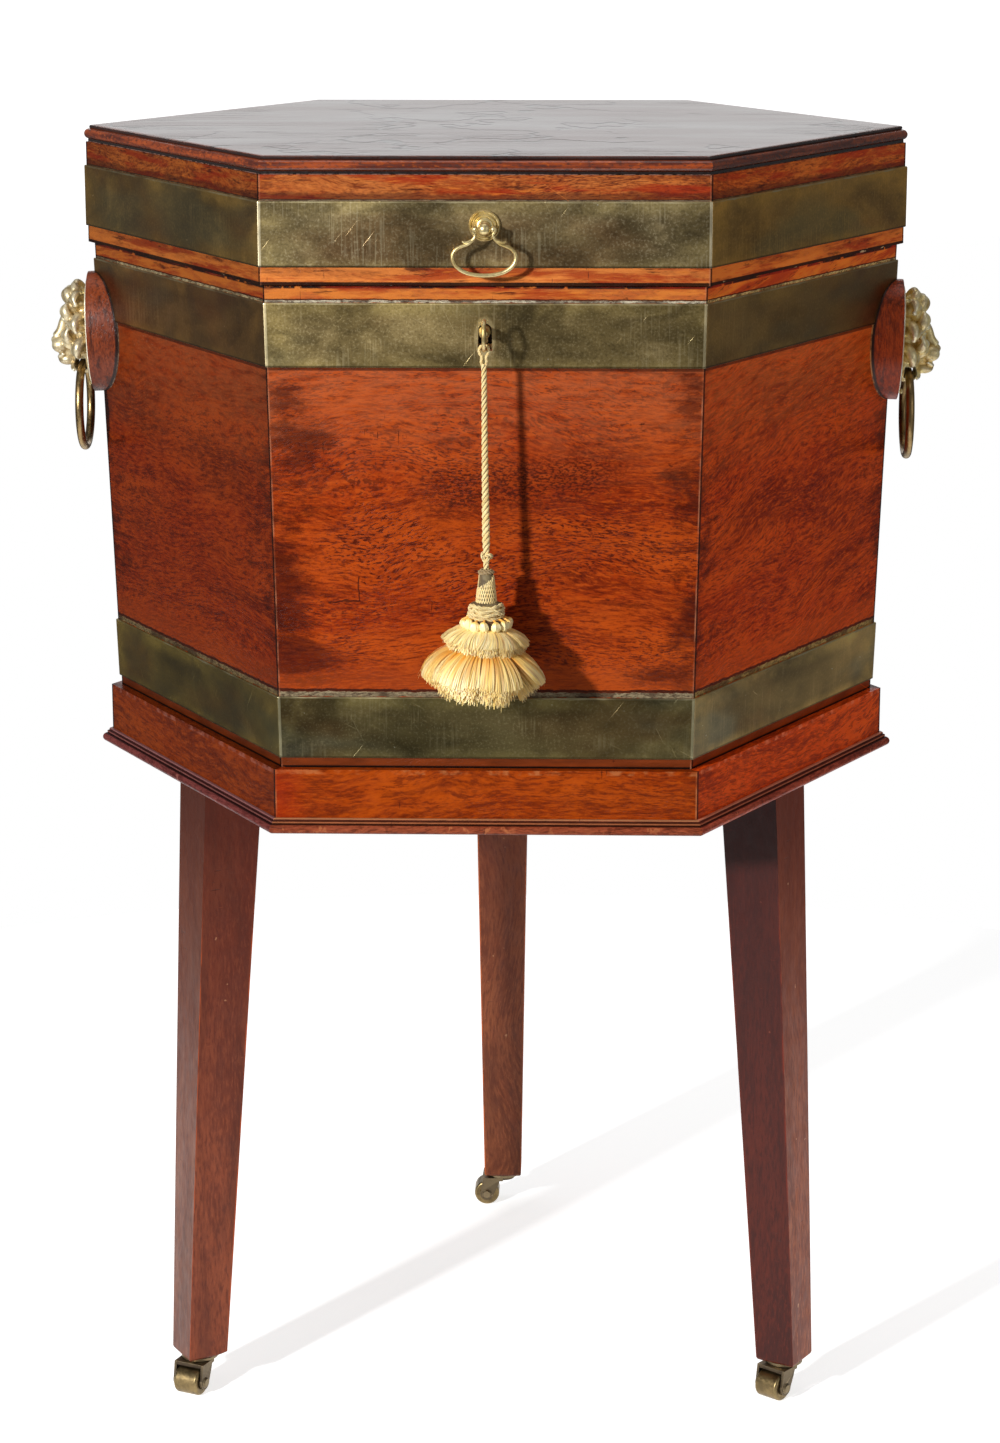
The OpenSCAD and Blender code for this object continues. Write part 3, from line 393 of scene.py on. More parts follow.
def leg_coords(azimuth, face, side_face):
    """Grain along the leg; face and side_face are the colour gains of its outer and side faces, which paint
    their light and shade.
    """

    def coords(me):
        co, _, nrm = corners(me)
        a = math.radians(azimuth)
        x = co[:, 0] * math.cos(a) + co[:, 1] * math.sin(a)
        y = -co[:, 0] * math.sin(a) + co[:, 1] * math.cos(a)
        side = np.abs(-nrm[:, 0] * math.sin(a) + nrm[:, 1] * math.cos(a))
        across, out = y.copy(), x.copy()
        for part in (co[:, 2] > 300, co[:, 2] < 100):
            if part.any():
                across[part] = y[part] / np.abs(y[part]).max()
                out[part] = 1 - 2 * (x[part].max() - x[part]) / np.ptp(x[part])
        put(me, "grain", co[:, 2] / 1000 + azimuth * 0.013, y / 1000, x / 1000)
        put(me, "place", np.where(side > 0.7, out, across), co[:, 2] / STAND_Z, 0 * y)
        put(me, "tint", (1 - side[:, None]) * face + side[:, None] * np.array(side_face))

    return coords


def lid_top_coords(me):
    """Grain along X; place holds the height within the moulded edge."""
    co, _, _ = corners(me)
    put(me, "grain", co / 1000)
    put(me, "place", 0 * co[:, 0], (co[:, 2] - LID_TOP_Z) / (TOP_Z - LID_TOP_Z), 0 * co[:, 0])


def pad_coords(me):
    """Upright grain; place holds the distance from the case's face in mm; the tint paints light on the right
    pad, which comes out lighter.
    """
    co, _, _ = corners(me)
    proud = np.abs(co[:, 0]) * C30 + np.abs(co[:, 1]) / 2 - case_a(co[:, 2])
    put(me, "grain", co[:, 2] / 1000 + 3.1 * np.sign(co[:, 0]), co[:, 1] / 1000, co[:, 0] / 1000)
    put(me, "place", co[:, 1] / 26, (co[:, 2] - 560) / 80, proud)
    # painted light: the right pad's colour gain
    put(me, "tint", np.where(co[:, :1] > 0, [2.7, 1.75, 0.8], [1.0, 0.96, 0.9]))


# ---------- materials ----------

class Mat:
    """A Principled material, short ways to add nodes to it, and col, the colour painted so far.
    A colour is a node's output or three 0-255 display values."""

    def __init__(self, name, **base):
        self.mat = bpy.data.materials.new(name)
        self.mat.use_nodes = True
        self.t = self.mat.node_tree
        self.b = self.t.nodes["Principled BSDF"]
        self.set(**base)

    def set(self, **ins):
        for k, v in ins.items():
            self.link(self.b.inputs[k.replace("_", " ")], v)

    def link(self, sock, val):
        if isinstance(val, bpy.types.NodeSocket):
            self.t.links.new(val, sock)
        elif sock.type == "RGBA" and len(val) == 3:
            sock.default_value = rgb(*val)
        else:
            sock.default_value = val

    def new(self, kind, ins, out=0, **props):
        n = self.t.nodes.new("ShaderNode" + kind)
        for k, v in props.items():
            setattr(n, k, v)
        for k, v in ins.items():
            self.link(n.inputs[k], v)
        return n.outputs[out]

    def attr(self, name):
        return self.new("Attribute", {}, "Vector", attribute_name=name)

    def obj(self):
        return self.new("TexCoord", {}, "Object")

    def split(self, v):
        n = self.t.nodes.new("ShaderNodeSeparateXYZ")
        self.t.links.new(v, n.inputs[0])
        return list(n.outputs)

    def read_place(self):
        self.g = self.attr("grain")
        self.px, self.py, self.front = self.split(self.attr("place"))

    def join(self, x, y, z):
        return self.new("CombineXYZ", {0: x, 1: y, 2: z})

    def m(self, op, a, b=0.0):
        return self.new("Math", {0: a, 1: b}, operation=op)

    def add(self, a, b):
        return self.m("ADD", a, b)

    def sub(self, a, b):
        return self.m("SUBTRACT", a, b)

    def abs(self, a):
        return self.m("ABSOLUTE", a)

    def max(self, a, b):
        return self.m("MAXIMUM", a, b)

    def product(self, *xs):
        out = xs[0]
        for x in xs[1:]:
            out = self.m("MULTIPLY", out, x)
        return out

    def spread(self, x, much):
        """A noise turned into a shift of either sign."""
        return self.product(self.sub(x, 0.5), much)

    def off(self, x, middle):
        """Distance from a value."""
        return self.abs(self.sub(x, middle))

    def length(self, x, y):
        return self.m("SQRT", self.add(self.product(x, x), self.product(y, y)))

    def moved(self, v, by):
        return self.new("VectorMath", {0: v, 1: by}, operation="ADD")

    def rotated(self, v, degrees):
        ins = {"Vector": v, "Angle": math.radians(degrees)}
        return self.new("VectorRotate", ins, rotation_type="Z_AXIS")

    def noise(self, v, size, detail=2.0, rough=0.5, wobble=0.0):
        """Noise with size = repeats a metre along each axis."""
        at = self.new("VectorMath", {0: v, 1: size}, operation="MULTIPLY")
        return self.new("TexNoise", {"Vector": at, "Scale": 1.0, "Detail": detail, "Roughness": rough,
                                     "Distortion": wobble})

    def step(self, x, lo, hi, a=0.0, b=1.0):
        return self.new("MapRange", {"Value": x, "From Min": lo, "From Max": hi, "To Min": a, "To Max": b},
                        interpolation_type="SMOOTHSTEP")

    def patch(self, v, size, lo, hi, a=0.0, b=1.0, detail=2.0, rough=0.5):
        """Step of a noise."""
        return self.step(self.noise(v, size, detail, rough), lo, hi, a, b)

    def mix(self, f, a, b, mode="MIX"):
        n = self.t.nodes.new("ShaderNodeMix")
        n.data_type, n.blend_type = "RGBA", mode
        for k, v in ((0, f), (6, a), (7, b)):
            self.link(n.inputs[k], v)
        return n.outputs[2]

    def paint(self, colour, *masks):
        """Lays a colour over what is there, as far as the product of the masks."""
        self.col = self.mix(self.product(*masks), self.col, colour)

    def gain(self, colour):
        self.col = self.mix(1.0, self.col, colour, "MULTIPLY")

    def bump(self, height, distance, strength=1.0, under=None):
        ins = {"Height": height, "Distance": distance, "Strength": strength}
        if under is not None:
            ins["Normal"] = under
        return self.new("Bump", ins)

    def done(self, **ins):
        self.set(Base_Color=self.col, **ins)
        return self.mat


def mahogany(name, mid, light, dark, smoke, marks, smoky=0.0, pores=1.0, rough=0.36, level=0.09):
    """Old polished mahogany: clouds, figure, fine fibre and pores, smoky edges, cracks and scratches, and
    each face's painted light and shade from its tint gain; marks is the function that paints what only this
    wood has."""
    m = Mat(name, Specular_IOR_Level=level, Coat_Weight=0.03, Coat_Roughness=0.25)
    m.read_place()
    g = m.g
    warp = m.noise(g, (6, 12, 12), 3)
    gw = m.moved(g, m.join(0.0, m.spread(warp, 0.05), 0.0))
    cloud = m.noise(gw, (11, 34, 34), 5, 0.62)
    figure = m.noise(gw, (14, 190, 190), 4, 0.62)
    fibre = m.noise(gw, (125, 660, 660), 3, 0.65)
    dash = m.noise(gw, (330, 1250, 1250), 2, 0.6)
    m.col = m.mix(m.step(cloud, 0.34, 0.74), mid, light)
    broad = m.patch(m.moved(gw, (2.6, 0, 0)), (7, 40, 40), 0.46, 0.68, 0.0, 0.7, 3, 0.55)
    m.paint(dark, broad, m.step(m.front, 0, 1, 1.0, 0.35))
    m.paint(dark, m.step(figure, 0.47, 0.72), 0.55)
    m.paint(dark, m.step(fibre, 0.5, 0.64), 0.7)
    m.paint(light, m.step(fibre, 0.48, 0.36), 0.65)
    deep = m.mix(0.5, dark, smoke)
    crowd = m.product(m.patch(g, (16, 34, 34), 0.36, 0.62, 0.25, 1.0, 3), m.step(m.front, 0, 1, 0.5, 1.0))
    pore = m.product(m.step(dash, 0.52, 0.61), crowd, 0.9 * pores)
    m.paint(deep, pore)
    m.paint(light, m.step(dash, 0.45, 0.35), 0.35 * pores)
    # smoky patches that gather at the upright edges
    m.rag = m.add(m.spread(m.noise(g, (50, 90, 90), 8, 0.8), 2.4), m.spread(figure, 0.5))
    edge = m.add(m.abs(m.px), m.rag)
    m.paint(deep, m.step(edge, 0.82, 1.12), 0.6 * smoky)
    m.paint(smoke, m.step(edge, 1.05, 1.25), 0.5 * smoky)
    marks(m)
    crack = m.product(m.patch(g, (800, 75, 75), 0.7, 0.76), m.patch(g, (18, 22, 22), 0.58, 0.64, detail=1))
    m.paint(smoke, crack, 0.7)
    scratch = m.product(m.patch(m.rotated(g, 34), (16, 1300, 90), 0.73, 0.77, detail=1),
                        m.patch(g, (11, 15, 15), 0.5, 0.58, detail=1))
    m.paint(light, scratch, 0.4)
    # painted light and shade: each face's colour gain from the tint attribute
    m.gain(m.attr("tint"))
    uneven = m.noise(g, (90, 160, 160), 3)
    high = m.sub(m.product(fibre, 0.3), m.add(pore, crack))
    return m.done(Roughness=m.step(uneven, 0.2, 0.8, rough - 0.06, rough + 0.1),
                  Normal=m.bump(high, 0.00022, 0.5, m.bump(uneven, 0.0012, 0.3)))


def strip_marks(m, where):
    """Red, dark and pale streaks of the narrow strips between the bands."""
    for shift, size, lo, hi, detail, rough, much, tone in (
            (4.2, (18, 160, 160), 0.46, 0.62, 4, 0.65, 0.75, (158, 42, 16)),
            (8.7, (42, 260, 260), 0.57, 0.7, 4, 0.7, 0.8, (64, 22, 16)),
            (0.0, (60, 420, 420), 0.58, 0.72, 3, 0.6, 0.6, (226, 126, 50))):
        streak = m.patch(m.moved(m.g, (shift, 0, 0)), size, lo, hi, detail=detail, rough=rough)
        m.paint(tone, where, streak, much)


def crust(m, low, high, pale):
    """Line of pale dirt along a band's upper edge, from low on, high tall, a dark line over it."""
    g = m.g
    y = m.add(m.py, m.spread(m.noise(g, (180, 180, 180), 4, 0.6), 0.8 * high))
    tone = m.mix(m.patch(g, (330, 900, 900), 0.36, 0.62, detail=6, rough=0.85), (74, 56, 44), pale)
    tone = m.mix(m.patch(g, (60, 60, 60), 0.5, 0.6, 0, 0.7, 3), tone, (66, 44, 34))
    m.paint((30, 14, 12), m.step(m.off(y, low + 1.25 * high), 0.35 * high, 0.2 * high), 0.85)
    m.col = m.mix(m.step(m.off(y, low + 0.5 * high), 0.55 * high, 0.42 * high), m.col, tone)


def edge_marks(m):
    """Pale arris on the front's upright edges, worn and partly a painted highlight; dark joint on its
    neighbours.
    """
    ax = m.abs(m.px)
    # pale arris: wear, and partly a painted highlight
    m.paint((184, 118, 88), m.step(ax, 0.991, 0.995), m.front,
            m.patch(m.g, (200, 90, 90), 0.4, 0.62, 0.1, 0.6, 4))
    m.paint((24, 9, 7), m.step(ax, 0.982, 0.99), m.sub(1.0, m.front), 0.85)


STAINS = ((-0.85, 0.67, 0.2, 0.1, 0.75), (-0.97, 0.36, 0.18, 0.18, 0.9), (-0.86, 0.232, 0.3, 0.042, 1.0),
          (-0.93, 0.78, 0.14, 0.04, 0.6), (0.95, 0.31, 0.14, 0.09, 0.65), (0.9, 0.2, 0.26, 0.03, 0.7),
          (0.95, 0.58, 0.14, 0.18, 0.5), (0.95, 0.79, 0.12, 0.08, 0.65))  # across, up, half sizes, strength


def front_marks(m):
    """The front panel's smoky stains, its speckled belt, knots and small crack."""
    g, px, py, front = m.g, m.px, m.py, m.front
    stain = 0.0
    for cx, cy, rx, ry, much in STAINS:
        d = m.length(m.product(m.sub(px, cx), 1 / rx), m.product(m.sub(py, cy), 1 / ry))
        stain = m.add(stain, m.step(d, 1.4, 0.0, 0.0, much))
    finger = m.noise(m.moved(g, (1.7, 0, 0)), (55, 120, 120), 7, 0.74)
    ragged = m.add(stain, m.spread(finger, 2.6))
    m.paint((92, 24, 8), m.step(stain, 0.05, 0.9), front, 0.35)
    m.paint((60, 14, 6), m.step(ragged, 0.3, 0.75), m.step(stain, 0.0, 0.25), front, 0.6)
    line = m.add(0.588, m.product(px, 0.06))
    belt = m.product(m.step(m.off(py, line), 0.012, 0.085, 1.0, 0.0), m.step(px, -0.4, -0.1),
                     m.step(px, 0.8, 0.45), front)
    m.paint((112, 34, 14), belt, 0.35)
    m.paint((44, 13, 9), belt, m.patch(g, (520, 950, 950), 0.46, 0.58), 0.7)
    m.paint((52, 16, 10), m.patch(g, (95, 140, 140), 0.62, 0.72, detail=4, rough=0.7), m.step(px, 0.42, 0.66),
            front, 0.8)
    wobble = m.spread(m.noise(g, (130, 130, 130), 2), 0.02)
    x, y = m.add(px, wobble), m.add(py, wobble)
    upright = m.product(m.step(m.off(x, -0.595), 0.0015, 0.005, 1, 0),
                        m.step(m.off(y, 0.378), 0.024, 0.028, 1, 0))
    level = m.product(m.step(m.off(y, 0.353), 0.0007, 0.0024, 1, 0),
                      m.step(m.off(x, -0.67), 0.07, 0.08, 1, 0))
    m.paint((50, 16, 10), m.max(upright, level), front, 0.8)


def case_marks(m):
    """Marks of the case: a painted sheen that pales the upper part, orange strips at rim and foot, the
    front's own marks, painted shadow lines under the upper band and along the foot, dirt over the bands, and
    worn edges that are partly a painted highlight."""
    g, py = m.g, m.py
    fine = m.noise(g, (60, 300, 300), 3)
    # painted sheen: the upper part of each face paler, a painted reflection
    m.paint((196, 104, 62), m.step(m.add(py, m.product(m.rag, 0.1)), 0.55, 0.84),
            m.step(fine, 0.3, 0.6, 0.15, 0.5))
    m.paint((176, 76, 30), m.step(m.add(py, m.spread(fine, 0.03)), 0.195, 0.24, 1.0, 0.0), 0.4)
    m.paint((220, 128, 56), m.step(py, 0.955, 0.965), m.step(fine, 0.62, 0.42, 0.3, 0.9))
    m.paint((34, 20, 20), m.step(py, 0.993, 0.9965), m.patch(g, (160, 160, 160), 0.66, 0.58, detail=4))
    strip_marks(m, m.step(py, 0.962, 0.968))
    m.paint(m.mix(fine, (70, 30, 14), (150, 66, 26)), m.step(py, 0.0215, 0.0205))
    # painted shadow line along the case's foot, over the gap to the rail
    m.paint((20, 10, 8), m.step(py, 0.006, 0.003))
    front_marks(m)
    # painted shadow line under the upper band
    m.paint((38, 14, 10), m.step(m.off(py, 0.833), 0.0045, 0.003), 0.7)
    crust(m, 0.1517, 0.011, (158, 142, 114))
    crust(m, 0.9664, 0.005, (216, 206, 184))
    edge_marks(m)


def lid_marks(m):
    """Dark smudges under and over the band, black lower edge."""
    g, py = m.g, m.py
    near = m.add(m.product(m.off(m.off(py, 0.47), 0.33), 14), m.rag)
    m.paint((232, 136, 66), m.step(py, 0.18, 0.16),
            m.patch(m.moved(g, (6.1, 0, 0)), (30, 240, 240), 0.34, 0.6, 0.2, 1, 4, 0.6))
    strip_marks(m, 1.0)
    m.paint((60, 24, 22), m.step(near, 0.75, 0.3), m.step(py, 0.2, 0.6, 0.15, 0.6))
    edge = m.mix(m.patch(g, (90, 300, 300), 0.66, 0.7, detail=3), (16, 9, 9), (186, 176, 170))
    m.paint(edge, m.step(py, 0.034, 0.026), 0.95)
    crust(m, 0.7657, 0.011, (128, 112, 90))
    edge_marks(m)


def rail_marks(m):
    """Worn pale upper edge, the front's red left end."""
    m.paint((176, 108, 74), m.step(m.py, 0.982, 0.988),
            m.patch(m.g, (150, 150, 150), 0.46, 0.66, 0.0, 0.6, 5))
    m.paint((160, 38, 14), m.step(m.add(m.px, m.product(m.rag, 0.1)), -0.8, -1.0), m.front, 0.4)
    edge_marks(m)


def leg_marks(m):
    """Painted shade under the stand and darker towards the top, worn orange arrises."""
    g, py = m.g, m.py
    cloud = m.noise(g, (8, 60, 60), 4)
    # painted shade under the stand
    m.paint((40, 16, 10), m.step(m.add(py, m.product(cloud, 0.16)), 0.86, 1.06), 0.7)
    # painted shade: darker towards the top
    m.paint((84, 28, 13), m.step(py, 0.3, 0.85, 0, 0.6))
    m.paint((62, 26, 16), m.step(cloud, 0.5, 0.7), 0.4)
    m.paint((176, 84, 44), m.step(m.abs(m.px), 0.94, 0.97), m.patch(g, (60, 120, 120), 0.4, 0.6, 0.2, 0.9, 4),
            m.step(py, 0.9, 0.7))
    m.paint((200, 150, 120), m.patch(g, (160, 160, 160), 0.74, 0.78), 0.5)


def pad_marks(m):
    """Dark streaks along the grain, a painted shadow along the case and a pale lip there that is worn and
    partly a painted reflection; m.front is the way out from the case, mm.
    """
    m.paint((44, 18, 12), m.patch(m.g, (22, 200, 200), 0.54, 0.66, detail=4, rough=0.6), 0.7)
    # painted shadow where the pad meets the case
    m.paint((22, 11, 9), m.step(m.front, 2.4, 1.7), 0.95)
    # pale lip: wear, and partly a painted reflection
    m.paint((150, 122, 96), m.step(m.front, 0.8, 0.5), m.patch(m.g, (200, 200, 200), 0.4, 0.6, 0.1, 0.8, 4))


def moulding_marks(m):
    """Pale worn fillets, dark grooves, nicks across the bead."""
    g, py = m.g, m.py
    for lo, hi, tone, much in ((0.63, 0.7, (34, 13, 10), 0.9), (0.73, 0.8, (158, 100, 74), 0.6),
                               (0.82, 0.91, (44, 18, 13), 0.8), (0.95, 1.02, (176, 124, 100), 0.7)):
        mid, half = (lo + hi) / 2, (hi - lo) / 2
        m.paint(tone, m.step(m.off(py, mid), half, half + 0.02, 1, 0), much)
    bead = m.step(py, 0.6, 0.56)
    nick = m.noise(g, (260, 160, 160), 4)
    m.paint((186, 112, 82), bead, m.patch(g, (30, 30, 30), 0.5, 0.62, 0.1, 0.7), m.step(nick, 0.58, 0.66))
    m.paint((60, 22, 14), bead, m.step(nick, 0.42, 0.36), 0.4)
    m.paint((40, 16, 11), m.step(py, 0.1, 0.04))


def lid_top_finish():
    """Dark glossy top with fine cracks; reach is 1 at its edge."""
    m = Mat("lid_top", Specular_IOR_Level=0.11, Coat_Weight=0.05, Coat_Roughness=0.1)
    g = m.attr("grain")
    gx, gy, _ = m.split(g)
    slant = m.add(m.product(m.abs(gx), C30), m.product(m.abs(gy), 0.5))
    reach = m.product(m.max(m.abs(gy), slant), 1000 / A_LID)
    cloud = m.noise(g, (6, 20, 20), 4, 0.6)
    grain = m.noise(g, (8, 150, 150), 4, 0.6)
    m.col = m.mix(m.step(cloud, 0.3, 0.7), (60, 28, 19), (86, 39, 22))
    m.paint((38, 18, 13), m.step(grain, 0.45, 0.75), 0.6)
    m.paint((110, 50, 27), m.step(reach, 0.94, 0.985), m.patch(g, (60, 60, 60), 0.35, 0.6, detail=4))
    crack = m.product(m.step(m.off(m.noise(g, (16, 13, 9), 3), 0.5), 0.0, 0.017, 1.0, 0.0),
                      m.patch(g, (6, 5, 5), 0.5, 0.55, detail=1))
    along = m.product(m.step(m.off(m.noise(m.moved(g, (5, 3, 0)), (5, 90, 9), 2), 0.5), 0.0, 0.02, 1.0, 0.0),
                      m.patch(g, (9, 9, 9), 0.5, 0.6, detail=1), 0.6)
    crack = m.max(crack, along)
    m.paint((20, 10, 8), crack)
    wave = m.bump(m.noise(g, (14, 22, 22), 3), 0.0004, 0.3)
    normal = m.bump(m.sub(m.product(grain, 0.06), crack), 0.0006, 0.7, wave)
    normal = m.bump(m.step(reach, 0.972, 1.0, 1, 0), 0.0012, 1.0, normal)
    return m.done(Roughness=m.step(cloud, 0.3, 0.7, 0.2, 0.24), Normal=normal)


def lid_bead_finish():
    """Moulded edge of the lid: glossy orange-brown beads under a black-brown fillet, with painted shade on
    the bead's lower part and a painted shadow gap under it.
    """
    m = Mat("lid_bead", Specular_IOR_Level=0.5, Coat_Weight=0.25, Coat_Roughness=0.12)
    m.read_place()
    g, h = m.g, m.py
    fine = m.noise(g, (330, 330, 700), 3, 0.7)
    m.col = m.mix(m.patch(g, (20, 20, 300), 0.38, 0.64, detail=4, rough=0.6), (84, 28, 9), (146, 62, 20))
    m.paint((50, 18, 9), m.step(fine, 0.52, 0.64), 0.7)
    m.paint((182, 92, 36), m.step(fine, 0.44, 0.34), 0.5)
    # painted shade: the bead darker towards its underside
    m.paint((46, 17, 11), m.step(h, 0.42, 0.2, 0, 0.8))
    m.paint((22, 11, 10), m.step(h, 0.76, 0.82), 0.92)
    m.paint((128, 82, 66), m.step(m.off(h, 0.985), 0.03, 0.01),
            m.patch(g, (70, 70, 70), 0.42, 0.6, detail=4), 0.6)
    # painted shadow gap under the moulding
    m.paint((16, 9, 8), m.step(h, 0.2, 0.15), 0.95)
    m.paint((150, 110, 96), m.step(h, 0.05, 0.02), m.step(fine, 0.4, 0.55), 0.7)
    wave = m.bump(m.noise(g, (40, 40, 120), 3), 0.0006, 0.3)
    return m.done(Roughness=m.step(fine, 0.3, 0.7, 0.24, 0.4), Normal=m.bump(fine, 0.00008, 0.5, wave))


def band_brass(name, gain, hole=0, lively=1.0):
    """Old lacquered brass sheet: olive, brown and grey-green clouds, fine grit, faint upright brushing, hair
    scratches, a painted highlight along the corners, a pale top lip that is worn and partly a painted
    highlight, and each face's painted light and shade from the tint gain; hole is the keyhole's height or 0,
    its rim is rubbed bright and that band's front gets a painted highlight, lighter on the left; lively
    scales the marks and below 1 paints a dark reflection in the middle of each face."""
    m = Mat(name, Metallic=1.0)
    m.read_place()
    g, px, py, front = m.g, m.px, m.py, m.front
    ax = m.abs(px)
    cloud = m.noise(g, (24, 34, 34), 6, 0.62, 0.4)
    grit = m.noise(g, (760, 760, 760), 2, 0.65)
    much = m.step(front, 0, 1, 0.4 * lively, lively)
    m.col = m.mix(m.step(m.noise(g, (11, 24, 24), 4, 0.6, 0.5), 0.34, 0.66), (112, 98, 64), (160, 141, 92))
    m.paint((142, 100, 62), m.patch(m.moved(g, (9, 0, 0)), (9, 20, 20), 0.5, 0.66, 0, 0.45, 3))
    m.paint((112, 122, 108), m.patch(m.moved(g, (3, 5, 0)), (8, 22, 22), 0.52, 0.68, 0, 0.5, 3))
    m.paint((200, 180, 128), m.step(cloud, 0.52, 0.7), 0.3, much)
    m.paint((66, 58, 38), m.step(cloud, 0.46, 0.32), 0.25, much)
    # painted dark reflection: each face darker towards its middle
    if lively < 1:
        m.paint((62, 56, 34), m.step(ax, 0.85, 0.3), 0.4)
    edge = m.max(m.step(ax, 0.8, 0.97), m.step(m.off(py, 0.46), 0.26, 0.46))
    m.paint((190, 170, 104), edge, m.step(cloud, 0.3, 0.7), 0.5)
    m.paint((226, 210, 160), m.step(grit, 0.54, 0.66), 0.28, much)
    m.paint((56, 48, 32), m.step(grit, 0.46, 0.34), 0.3, much)
    m.paint((214, 198, 150), m.patch(g, (900, 30, 30), 0.5, 0.7), m.patch(g, (17, 26, 26), 0.5, 0.58),
            much, 0.4)
    hair = 0.0
    for turn, shift in ((28, 0.0), (-52, 3.1), (64, 7.7)):
        line = m.patch(m.moved(m.rotated(g, turn), (shift, 0, 0)), (30, 1500, 60), 0.74, 0.82, detail=1)
        hair = m.max(hair, line)
    hair = m.product(hair, m.patch(g, (14, 20, 20), 0.44, 0.56, detail=1))
    m.paint((230, 216, 172), hair, 0.2)
    m.paint((246, 238, 206), m.patch(g, (240, 240, 240), 0.76, 0.8), 0.6)
    # painted highlight along the corners, strongest on the front
    m.paint((244, 230, 182), m.step(ax, 0.991, 0.995), m.step(front, 0, 1, 0.1, 0.8))
    if hole:
        # painted highlight: the keyhole band's front lighter on the left, darker on the right
        shade = m.step(px, -0.9, 0.9, 1.17, 0.83)
        m.gain(m.join(shade, shade, shade))
        d = m.length(m.product(px, 22), m.product(m.sub(py, hole), 3.4))
        m.paint((236, 220, 166), m.step(m.add(d, m.product(cloud, 0.5)), 1.45, 1.2), front, 0.5)
    # painted light and shade: each face's colour gain from the tint attribute
    m.gain(m.attr("tint"))
    m.gain((gain, gain, gain, 1.0))
    m.paint((50, 38, 26), m.step(py, 0.04, 0.015), 0.7)
    # pale top lip: wear, and partly a painted highlight
    worn = m.step(m.add(m.spread(m.noise(g, (150, 150, 150), 4), 0.03), py), 0.97, 0.98)
    m.paint((206, 192, 150), worn, m.patch(g, (40, 40, 40), 0.4, 0.6, 0.15, 0.8, 3))
    dent = m.bump(m.noise(g, (22, 22, 22), 2), 0.0016, 0.25)
    return m.done(Roughness=m.step(cloud, 0.3, 0.7, 0.3, 0.46),
                  Normal=m.bump(m.sub(m.product(grit, 0.5), hair), 0.00009, 0.5, dent))


def metal(name, base, deep, size, rough, worn=None, metallic=1.0):
    """Cast or turned metal with darker hollows of tarnish."""
    m = Mat(name, Metallic=metallic)
    o = m.obj()
    fine = m.noise(o, (size * 6,) * 3, 3, 0.6)
    m.col = m.mix(m.patch(o, (size,) * 3, 0.36, 0.66, detail=5, rough=0.65), base, deep)
    if worn:
        point = m.new("NewGeometry", {}, "Pointiness")
        m.paint(worn, m.step(point, 0.5, 0.56))
        m.paint(deep, m.step(point, 0.49, 0.44))
    return m.done(Roughness=m.step(fine, 0.3, 0.7, rough - 0.07, rough + 0.1),
                  Normal=m.bump(fine, 0.00004, 0.3))


def silk_cord():
    """Twisted silk: vector is (length mm, angle 0..1, tint)."""
    m = Mat("silk_cord", Roughness=0.45, Specular_IOR_Level=0.6, Sheen_Weight=0.6, Sheen_Roughness=0.4,
            Sheen_Tint=(255, 240, 200))
    s, a, tint = m.split(m.attr("silk"))
    turn = m.add(m.product(s, -1.3), m.product(a, 2.0))
    ply = m.abs(m.m("SINE", m.product(turn, math.pi * 2)))
    fine = m.noise(m.obj(), (3000, 3000, 900), 2)
    m.col = m.mix(m.step(tint, 0.0, 1.0), (252, 226, 156), (238, 192, 98))
    # painted shade in the grooves of the twist
    m.paint((150, 98, 40), m.step(ply, 0.4, 0.05))
    m.paint((255, 246, 210), m.step(fine, 0.4, 0.7), 0.3)
    # below 0: painted shade in the grooves between plies, and the head ring's darker old thread
    m.paint((116, 84, 52), m.step(tint, 0.0, -0.5))
    return m.done(Normal=m.bump(m.add(ply, m.product(fine, 0.4)), 0.00018, 0.7))


def silk_thread():
    """Loose silk: vector is (0 at the root to 1 at the tip, random, bundle's tint)."""
    m = Mat("silk_thread", Roughness=0.42, Specular_IOR_Level=0.7, Sheen_Weight=0.8, Sheen_Roughness=0.4,
            Sheen_Tint=(255, 236, 180))
    s, r, tint = m.split(m.attr("silk"))
    # deeper orange towards the roots: the silk's own colour, with painted shade inside the tassel
    root = m.mix(tint, (254, 210, 110), (242, 158, 36))
    tip = m.mix(m.product(tint, 0.5), m.mix(r, (255, 225, 138), (255, 244, 198)), (250, 206, 92))
    m.col = m.mix(m.step(s, 0.2, 0.95), root, tip)
    m.paint((196, 134, 56), m.step(r, 0.86, 0.97), 0.6)
    # painted shade: the dark core that shows between the tufts of the balls
    m.paint((84, 54, 26), m.step(s, 0.0, -0.5))
    return m.done(Normal=m.bump(m.noise(m.obj(), (2500, 2500, 500), 2), 0.0001, 0.4))


def plain_wood(name, base, dark):
    """Unpolished inside wood."""
    m = Mat(name, Specular_IOR_Level=0.2)
    o = m.obj()
    fine = m.noise(o, (32, 720, 720), 3)
    m.col = m.mix(m.step(m.noise(o, (4, 90, 90), 4, 0.6, 0.3), 0.4, 0.7), base, dark)
    m.paint(dark, m.step(fine, 0.5, 0.75), 0.4)
    return m.done(Roughness=m.step(fine, 0.3, 0.7, 0.55, 0.75), Normal=m.bump(fine, 0.0002, 0.4))


